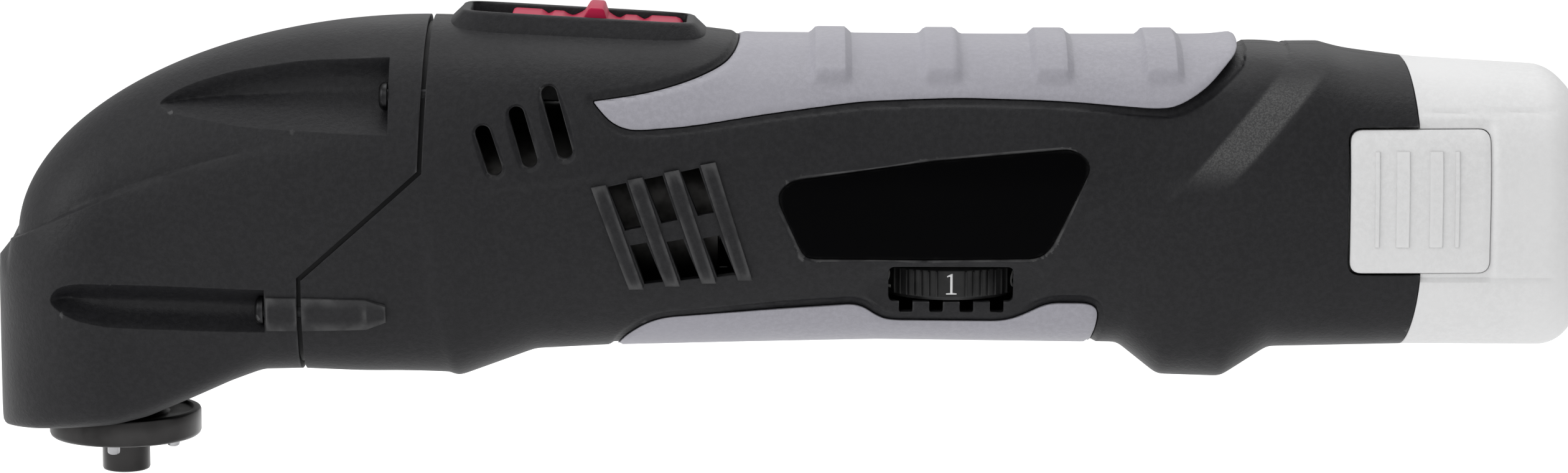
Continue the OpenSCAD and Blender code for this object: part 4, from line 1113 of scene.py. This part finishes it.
def make_housing():
    whole = form("housing", NECK_X - 2, TAIL_END, 0.0, body_relief, 0.5, 380)
    room = form("housing_room", NECK_X - 4, TAIL_END + 3, -WALL, None, 2.5, 96)
    bay = lathe("bay", rod(BAY_R, 0, 52), 96, (TAIL_END - 46, 0, BAY_Z), "X")
    carve(whole, "DIFFERENCE", room, bay, head_prism("head_space", -GAP))
    vents = [np.array(stadium(*slot, VENT_R)) for slot in VENT_SLOTS]
    openings = [prism("vent", vent) for vent in vents]
    openings += [edge_chamfer("vent_rim", vent, side, 0.4, 0.4) for vent in vents for side in (-1, 1)]
    openings += [prism("louvre", corners) for corners in louvre_openings()]
    notch = [
        (LATCH_LOW[0] - 0.45, LATCH_LOW[2] - 0.45), (TAIL_END + 9, LATCH_LOW[2] - 0.45),
        (TAIL_END + 9, LATCH_HIGH[2] + 0.45), (LATCH_LOW[0] - 0.45, LATCH_HIGH[2] + 0.45),
    ]
    openings.append(prism("latch_notch", rounded(notch, 2.6)))
    carve(whole, "DIFFERENCE", *openings)
    carve(
        whole, "DIFFERENCE",
        grip_bed("top_bed", TOP_GRIP, 1.1, GRIP_X - 40, TAIL_X + 10),
        grip_bed("lower_bed", LOWER_GRIP, 1.1, GRIP_X - 40, TAIL_X + 10),
        grip_bed("badge_bed", BADGE, 0.9, GRIP_X - 5, GRIP_X + 75),
        slot_cutter(),
        edge_chamfer("badge_rim", BADGE, -1, 0.8, 0.45),
        edge_chamfer("badge_rim", BADGE, 1, 0.8, 0.45),
    )
    carve(whole, "DIFFERENCE", prism("rear_edge", bowed_edge(0.1, -4.5, 20)))
    far = copy_of(whole, "housing_far_shell")
    carve(far, "INTERSECT", slab("far_side", -60, 400, 0.05, 80, -40, 140))
    near = whole
    near.name = "housing_near_shell"
    carve(near, "INTERSECT", slab("near_side", -60, 400, -80, -0.05, -40, 140))
    carve(near, "DIFFERENCE", *wheel_window())
    finish(near, "housing", "body_plastic", "housing_near")
    finish(far, "housing", "body_plastic", "housing_far")
    for side, label in ((-1, "near"), (1, "far")):
        slats = strips_on_side(f"louvre_slats_{label}", "body_plastic", side, louvre_slats(), 0.75)
        finish(slats, "housing", "body_plastic")
        front = [[(NECK_X - 6, 30.0), (NECK_X - 6, 23.9), (NECK_X - GAP, 23.9), (NECK_X - GAP, 30.0)]]
        back = [
            [(NECK_X + GAP, 30.0), (NECK_X + GAP, 23.9), (NECK_X + 12, 24.2), (NECK_X + 12, 29.8)],
            [(NECK_X + 12, 29.8), (NECK_X + 12, 24.2), (NECK_X + 15.6, 25.6), (NECK_X + 15.6, 28.6)],
        ]
        finish(strips_on_side(f"head_rib_{label}", "body_plastic", side, front, 0.5), "housing", "body_plastic")
        finish(strips_on_side(f"body_rib_{label}", "body_plastic", side, back, 0.5), "housing", "body_plastic")


def make_grips():
    for node, outline in (("top_grip", TOP_GRIP), ("lower_grip", LOWER_GRIP)):
        skin = form(f"{node}_skin", GRIP_X - 34, TAIL_X + 6, 0.0, grip_relief, 0.6, 300)
        carve(skin, "INTERSECT", prism("grip_edge", outline))
        carve(skin, "DIFFERENCE", form("grip_under", GRIP_X - 40, TAIL_X + 10, -1.0, None, 2.0, 128))
        finish(skin, "housing", "soft_grip", node)


def make_badges():
    for side, label in ((-1, "near"), (1, "far")):
        plate = form(f"badge_plate_{label}", GRIP_X - 2, GRIP_X + 70, -0.12, None, 1.0, 200)
        y0, y1 = (0.0, ACROSS) if side > 0 else (-ACROSS, 0.0)
        carve(plate, "INTERSECT", prism("badge_edge", BADGE, y0, y1))
        carve(plate, "DIFFERENCE", form("badge_under", GRIP_X - 4, GRIP_X + 72, -0.8, None, 2.0, 128))
        finish(plate, "housing", "gloss_black", f"badge_{label}")


# ======== Switch ========
SLIDE_LOW, SLIDE_HIGH = box_mm("slide_button")
BEZEL_LOW, BEZEL_HIGH = box_mm("switch_bezel")
SLOT_X = (BEZEL_LOW[0] + BEZEL_HIGH[0]) / 2
SLOT_HALF_L = 19.6
SLOT_HALF_W = 6.75
SLOPE = math.atan((78.0 - 75.3) / 46)


def slot_outline(grow, power=9.0, n=144):
    """A boat-shaped plan round the slot, grown outwards."""
    out = []
    for i in range(n):
        a = 2 * math.pi * i / n
        c, s = math.cos(a), math.sin(a)
        r = (abs(c) ** power + abs(s) ** power) ** (-1 / power)
        out.append((SLOT_X + (SLOT_HALF_L + grow) * c * r, (SLOT_HALF_W + grow) * s * r))
    return out


def slot_cutter():
    low = [(x, y, 60) for x, y in slot_outline(0.3, 18)]
    high = [(x, y, 90) for x, y in slot_outline(0.3, 18)]
    n = len(low)
    faces = [(i, (i + 1) % n, n + (i + 1) % n, n + i) for i in range(n)]
    faces += [tuple(range(n - 1, -1, -1)), tuple(range(n, 2 * n))]
    return tidy_solid(mesh_from("slot_hole", low + high, faces))


def make_bezel():
    """A raised collar round the slot: inner wall, rounded rim, and a side that falls to the body."""
    profile = [
        (0.0, -5.0, 16), (0.0, -1.0, 16), (0.0, 1.3, 16), (0.15, 1.62, 14), (0.5, 1.8, 8),
        (1.1, 1.82, 7.5), (1.5, 1.7, 7), (1.75, 1.4, 7), (2.3, 0.95, 6.5), (3.0, 0.35, 6),
        (3.35, 0.05, 6), (3.5, -0.5, 6), (3.5, -2.4, 6), (1.5, -5.0, 8),
    ]
    n = 240
    points, faces = [], []
    for grow, lift, power in profile:
        for x, y in slot_outline(grow, power, n):
            x = SLOT_X + (x - SLOT_X) * (1 + 0.012 * min(1.0, grow / 3))
            base = float(roof_z(x, y)[0])
            flat = BODY_TOP - 0.1 - (x - BEZEL_LOW[0]) * math.tan(SLOPE)
            mix = min(1.0, max(0.0, (grow - 1.3) / 2.0))
            points.append((x, y, flat * (1 - mix) + base * mix + lift + 0.33 * (1 - mix)))
    for k in range(len(profile)):
        m = (k + 1) % len(profile)
        for i in range(n):
            j = (i + 1) % n
            faces.append((k * n + i, k * n + j, m * n + j, m * n + i))
    collar = tidy_solid(mesh_from("switch_bezel_collar", points, faces))
    finish(collar, "housing", "body_plastic", "switch_bezel")


def make_slider():
    """The red button: scalloped bumps each side of a tall thumb ridge."""
    length = SLIDE_HIGH[0] - SLIDE_LOW[0] - 0.4
    half = length / 2
    middle = (SLIDE_LOW[0] + SLIDE_HIGH[0]) / 2
    outline = [
        (-half, -3.0), (-half, 1.2), (-half + 0.5, 1.5), (-10.4, 1.5), (-9.9, 1.2), (-9.2, 0.75), (-8.6, 1.05),
        (-8.1, 1.4), (-6.4, 1.4), (-5.6, 0.95), (-4.8, 0.7), (-4.2, 0.85), (-3.0, 1.5), (-2.5, 1.9),
        (-1.6, 3.5), (-1.2, 3.75), (0.9, 3.75), (1.2, 3.5), (1.9, 1.7), (2.6, 1.25), (3.4, 0.85), (4.0, 0.75),
        (4.5, 1.05), (5.0, 1.4), (7.0, 1.4), (7.6, 1.1), (8.5, 0.7), (9.1, 1.0), (9.8, 1.5), (half - 1.4, 1.5),
        (half - 0.5, 1.2), (half, 0.5), (half, -3.0),
    ]
    button = prism("slide_button_cap", outline, -SLOT_HALF_W + 0.45, SLOT_HALF_W - 0.45)
    soften(button, 0.28, 3)
    turn = Matrix.Rotation(SLOPE, 4, "Y")
    z = BODY_TOP - 0.1 - (middle - BEZEL_LOW[0]) * math.tan(SLOPE)
    button.data.transform(Matrix.Translation(Vector((middle, 0, z)) * MM) @ turn)
    finish(button, "slider", "red_plastic", "slide_button")
    reach = SLOT_HALF_W + 1
    shutter = slab("slot_shutter", -SLOT_HALF_L - 4, SLOT_HALF_L + 6, -reach, reach, -3.6, -2.9)
    shutter.data.transform(Matrix.Translation(Vector((SLOT_X, 0, z)) * MM) @ turn)
    soften(shutter, 0.2, 2)
    finish(shutter, "housing", "inner_plastic")


def soften(piece, width, segments=3):
    step = piece.modifiers.new("soften", "BEVEL")
    step.width = width * MM
    step.segments = segments
    step.limit_method = "ANGLE"
    step.angle_limit = math.radians(28)
    return bake(piece)


# ======== Speed wheel ========
def make_wheel():
    core = WHEEL_R - 0.75
    low, high = WHEEL_Z0 + 0.1, WHEEL_Z1 - 0.1
    drum = lathe("speed_wheel_drum", [
        (2.9, low), (core - 0.9, low), (core, low + 0.7), (core, high - 0.7), (core - 0.9, high), (2.9, high),
    ], 128, (WHEEL_X, WHEEL_Y, 0))
    tooth = prism("tooth", [(-0.24, -0.5), (0.24, -0.5), (0.14, 0.5), (-0.14, 0.5)], 0, high - low - 1.5)
    soften(tooth, 0.1, 2)
    places = []
    for mark in range(6):
        for k in range(7):
            a = math.radians(-90 + 60 * mark + 30 + (k - 3) * 6.2)
            r = core + 0.05
            places.append((
                (WHEEL_X + r * math.cos(a), WHEEL_Y + r * math.sin(a), low + 0.75),
                (math.pi / 2, 0, a - math.pi / 2 + math.pi),
            ))
    teeth = repeat("speed_wheel_teeth", tooth, "wheel_plastic", places)
    finish(drum, "wheel", "wheel_plastic", "speed_wheel")
    finish(teeth, "wheel", "wheel_plastic")
    for mark in range(6):
        make_digit(str(mark + 1), math.radians(-90 - 60 * mark), core, (low + high) / 2)


def make_digit(text, angle, radius, height):
    """A white numeral printed on the wheel's rim."""
    curve = bpy.data.curves.new(f"wheel_number_{text}", "FONT")
    curve.body = text
    curve.size = 5.2 * MM
    curve.extrude = 0.06 * MM
    curve.align_x = "CENTER"
    curve.align_y = "CENTER"
    letter = new_object(f"wheel_number_{text}", curve)
    mesh = bpy.data.meshes.new_from_object(letter.evaluated_get(bpy.context.evaluated_depsgraph_get()))
    bpy.data.objects.remove(letter)
    if text == "1":
        mesh = bpy.data.meshes.new("wheel_number_1")
        edge = [
            (-0.95, -1.9), (0.95, -1.9), (0.95, -1.68), (0.24, -1.6), (0.24, 1.9), (0.02, 1.9), (-0.8, 1.45),
            (-0.75, 1.25), (-0.2, 1.4), (-0.2, -1.6), (-0.95, -1.68),
        ]
        n = len(edge)
        points = [(x * MM, z * MM, h * MM) for h in (-0.06, 0.06) for x, z in edge]
        faces = [(i, (i + 1) % n, n + (i + 1) % n, n + i) for i in range(n)]
        mesh.from_pydata(points, [], faces + [tuple(range(n - 1, -1, -1)), tuple(range(n, 2 * n))])
    for v in mesh.vertices:
        a = angle + v.co.x / (radius * MM)
        r = (radius + 0.03) * MM + v.co.z
        v.co = Vector((WHEEL_X * MM + r * math.cos(a), WHEEL_Y * MM + r * math.sin(a), height * MM + v.co.y))
    piece = tidy_solid(new_object(f"wheel_number_{text}", mesh))
    finish(piece, "wheel", "pack_plastic")


# ======== Output spindle, pins and screws ========
def make_spindle():
    low, high = box_mm("spindle")
    r, t = 14.0, 5.0
    boss = -low[2]
    profile = [
        (2.5, -boss + 0.5), (3.0, -boss), (3.9, -boss), (4.25, -boss + 0.15), (4.4, -boss + 0.5), (4.4, -0.25),
        (4.65, 0.0), (12.9, 0.0), (13.45, 0.12), (13.8, 0.4), (r, 0.9), (r, t - 0.5), (r - 0.15, t - 0.15),
        (r - 0.5, t), (12.6, t), (12.3, t - 0.5), (8.2, t - 0.7), (7.2, t), (7.2, t + 5), (5.0, t + 5.4),
        (5.0, high[2] - 0.3), (4.7, high[2]), (0.0, high[2]), (0.0, 10.0), (2.5, 9.0),
    ]
    finish(lathe("output_spindle", profile, 160), "spindle", "dark_steel", "spindle")
    pin = lathe("pin", [(0, -2.0), (0.75, -2.0), (1.05, -1.8), (1.15, -1.5), (1.15, 0.4), (0, 0.4)], 32)
    places = []
    for k in range(4):
        a = math.radians(90 * k - 8)
        places.append(((9 * math.cos(a), 9 * math.sin(a), 0), (0, 0, 0)))
    pins = repeat("drive_pin_set", pin, "bright_steel", places)
    finish(pins, "spindle", "bright_steel", "drive_pins")


def screw(name, length, head_r, head_h, shank_r):
    """A round-headed screw with a six-sided socket, its head towards -X."""
    dome = [(0, -head_h), (head_r * 0.5, -head_h)]
    dome += [
        (head_r * (0.5 + 0.5 * math.sin(t)), -head_h * (0.25 + 0.75 * math.cos(t)))
        for t in np.linspace(0.2, math.pi / 2, 7)
    ]
    made = lathe(name, dome + [(head_r, 0), (shank_r, 0), (shank_r, length), (0, length)], 40, (0, 0, 0), "X")
    socket = rod(head_r * 0.45, -head_h - 1, -head_h * 0.3)
    return carve(made, "DIFFERENCE", lathe("socket", socket, 6, (0, 0, 0), "X"))


def make_screws():
    places = []
    for side in (-1, 1):
        places.append(((UPPER_SCREW_X - 0.3, side * 19.4, 65.9), (0, 0, 0)))
        places.append(((LOWER_SCREW_X - 0.3, side * 22.4, 27.3), (0, 0, 0)))
    unit = screw("head_screw_unit", 14, 2.6, 1.5, 1.5)
    finish(repeat("head_screw_set", unit, "screw_steel", places), "housing", "screw_steel", "head_screws")


# ======== Battery pack ========
def pack_relief(x, y, z):
    height = np.zeros(x.shape)
    for line_z, depth in ((63.2, 0.3), (33.3, 0.3)):
        height -= depth * np.exp(-(((z - line_z) / 0.35) ** 2)) * ease((PACK_END - 4.6 - x) / 1.5)
    latch = inside_distance(x, z, rounded([
        (TAIL_END - 20, LATCH_LOW[2] - 1.6), (LATCH_HIGH[0] + 1.0, LATCH_LOW[2] - 1.6),
        (LATCH_HIGH[0] + 1.0, LATCH_HIGH[2] + 1.6), (TAIL_END - 20, LATCH_HIGH[2] + 1.6),
    ], 1.5))
    return height - 0.6 * ease((latch + 0.3) / 1.2)


def make_pack():
    case = form("battery_shell", TAIL_END - 4, PACK_END, 0.0, pack_relief, 0.6, 260)
    # The front edge follows the housing's bowed rear edge
    carve(case, "DIFFERENCE", prism("front_edge", bowed_edge(0.3, -4.2, -30)))
    stem_x, stem_end = PACK_LOW[0], TAIL_END + 3 - PACK_LOW[0]
    stem = [(0, 0), (STEM_R - 1.5, 0), (STEM_R, 1.5), (STEM_R, stem_end), (0, stem_end)]
    carve(case, "UNION", lathe("stem", stem, 128, (stem_x, 0, BAY_Z), "X"))
    cells = rod(CELL_ROOM_R, 0, PACK_END - stem_x - 4.4)
    room = lathe("cell_room", cells, 64, (stem_x + 1.6, 0, BAY_Z), "X")
    slots = [
        slab("terminal_slot", stem_x - 2, stem_x + 4, y - 1, y + 1, BAY_Z - 4, BAY_Z + 4) for y in (-7, 0, 7)
    ]
    carve(case, "DIFFERENCE", room, *slots)
    for side in (-1, 1):
        notch = rounded([
            (LATCH_LOW[0] - 0.3, LATCH_LOW[2] - 0.12), (LATCH_HIGH[0] + 0.12, LATCH_LOW[2] - 0.12),
            (LATCH_HIGH[0] + 0.12, LATCH_HIGH[2] + 0.12), (LATCH_LOW[0] - 0.3, LATCH_HIGH[2] + 0.12),
        ], 2.2)
        y0, y1 = (20.6, ACROSS) if side > 0 else (-ACROSS, -20.6)
        cutter = prism("latch_pocket", notch, y0, y1)
        keep = rod(STEM_R, -9, TAIL_END + 0.6 - stem_x)
        carve(cutter, "DIFFERENCE", lathe("stem_keep", keep, 96, (stem_x, 0, BAY_Z), "X"))
        carve(case, "DIFFERENCE", cutter)
    finish(case, "battery", "pack_plastic", "battery_case")


def latch_relief(x, y, z):
    return -0.15 * (1 - ease(inside_distance(x, z, LATCH_EDGE) / 1.0))


LATCH_EDGE = rounded([
    (LATCH_LOW[0], LATCH_LOW[2]), (LATCH_HIGH[0], LATCH_LOW[2]), (LATCH_HIGH[0], LATCH_HIGH[2]),
    (LATCH_LOW[0], LATCH_HIGH[2]),
], 2.2)
LATCH_RIDGES = [(4.4, 0.8), (8.2, 2.4), (14.2, 2.4), (18.8, 0.8)]


def make_latches():
    for side, label in ((-1, "near"), (1, "far")):
        x0, x1 = LATCH_LOW[0], LATCH_HIGH[0]
        plate = form(f"latch_plate_{label}", x0 - 3, x1 + 3, -0.1, latch_relief, 0.5, 300)
        y0, y1 = (5, ACROSS) if side > 0 else (-ACROSS, -5)
        carve(plate, "INTERSECT", prism("latch_edge", LATCH_EDGE, y0, y1))
        carve(plate, "DIFFERENCE", form("latch_under", x0 - 5, x1 + 5, -2.1, None, 2.0, 128))
        finish(plate, f"latch_{label}", "pack_plastic", f"latch_{label}")
        ridges = [
            [(x0 + x, 56.6), (x0 + x + w, 56.6), (x0 + x + w, 39.3), (x0 + x, 39.3)] for x, w in LATCH_RIDGES
        ]
        bars = strips_on_side(f"latch_ridges_{label}", "pack_plastic", side, ridges, 0.15, 0.5)
        finish(bars, f"latch_{label}", "pack_plastic")


def paint_inner_nodes():
    """Every CAD node that still shows gets its own worked finish."""
    for name, piece in frame["nodes"].items():
        slot = NODE_SLOTS.get(name)
        if slot is None:
            continue
        piece.data.materials.clear()
        piece.data.materials.append(FINISHES["can_steel" if name.startswith("motor_") else slot])


def make_floor():
    low = cad_bounds[0][2] - 0.045
    mesh = bpy.data.meshes.new("floor")
    side = 9.0
    corners = [(-side, -side, low), (side, -side, low), (side, side, low), (-side, side, low)]
    mesh.from_pydata(corners, [], [(0, 1, 2, 3)])
    floor = new_object("floor", mesh)
    material = bpy.data.materials.new("pale_floor")
    material.use_nodes = True
    tree = material.node_tree
    shader = tree.nodes["Principled BSDF"]
    place = add_node(tree, "ShaderNodeTexCoord").outputs["Object"]
    shade = span(tree, noise(tree, place, 3.0, 2.0), 0.3, 0.7, 0.0, 1.0)
    tree.links.new(blend_colours(tree, shade, (0.93, 0.93, 0.93), (0.95, 0.95, 0.95)), shader.inputs["Base Color"])
    shader.inputs["Roughness"].default_value = 0.9
    shader.inputs["Emission Color"].default_value = (1, 1, 1, 1)
    shader.inputs["Emission Strength"].default_value = 0.16
    mesh.materials.append(material)


paint_inner_nodes()
make_head()
make_tongue()
make_housing()
make_grips()
make_badges()
make_bezel()
make_slider()
make_wheel()
make_spindle()
make_screws()
make_pack()
make_latches()
make_floor()
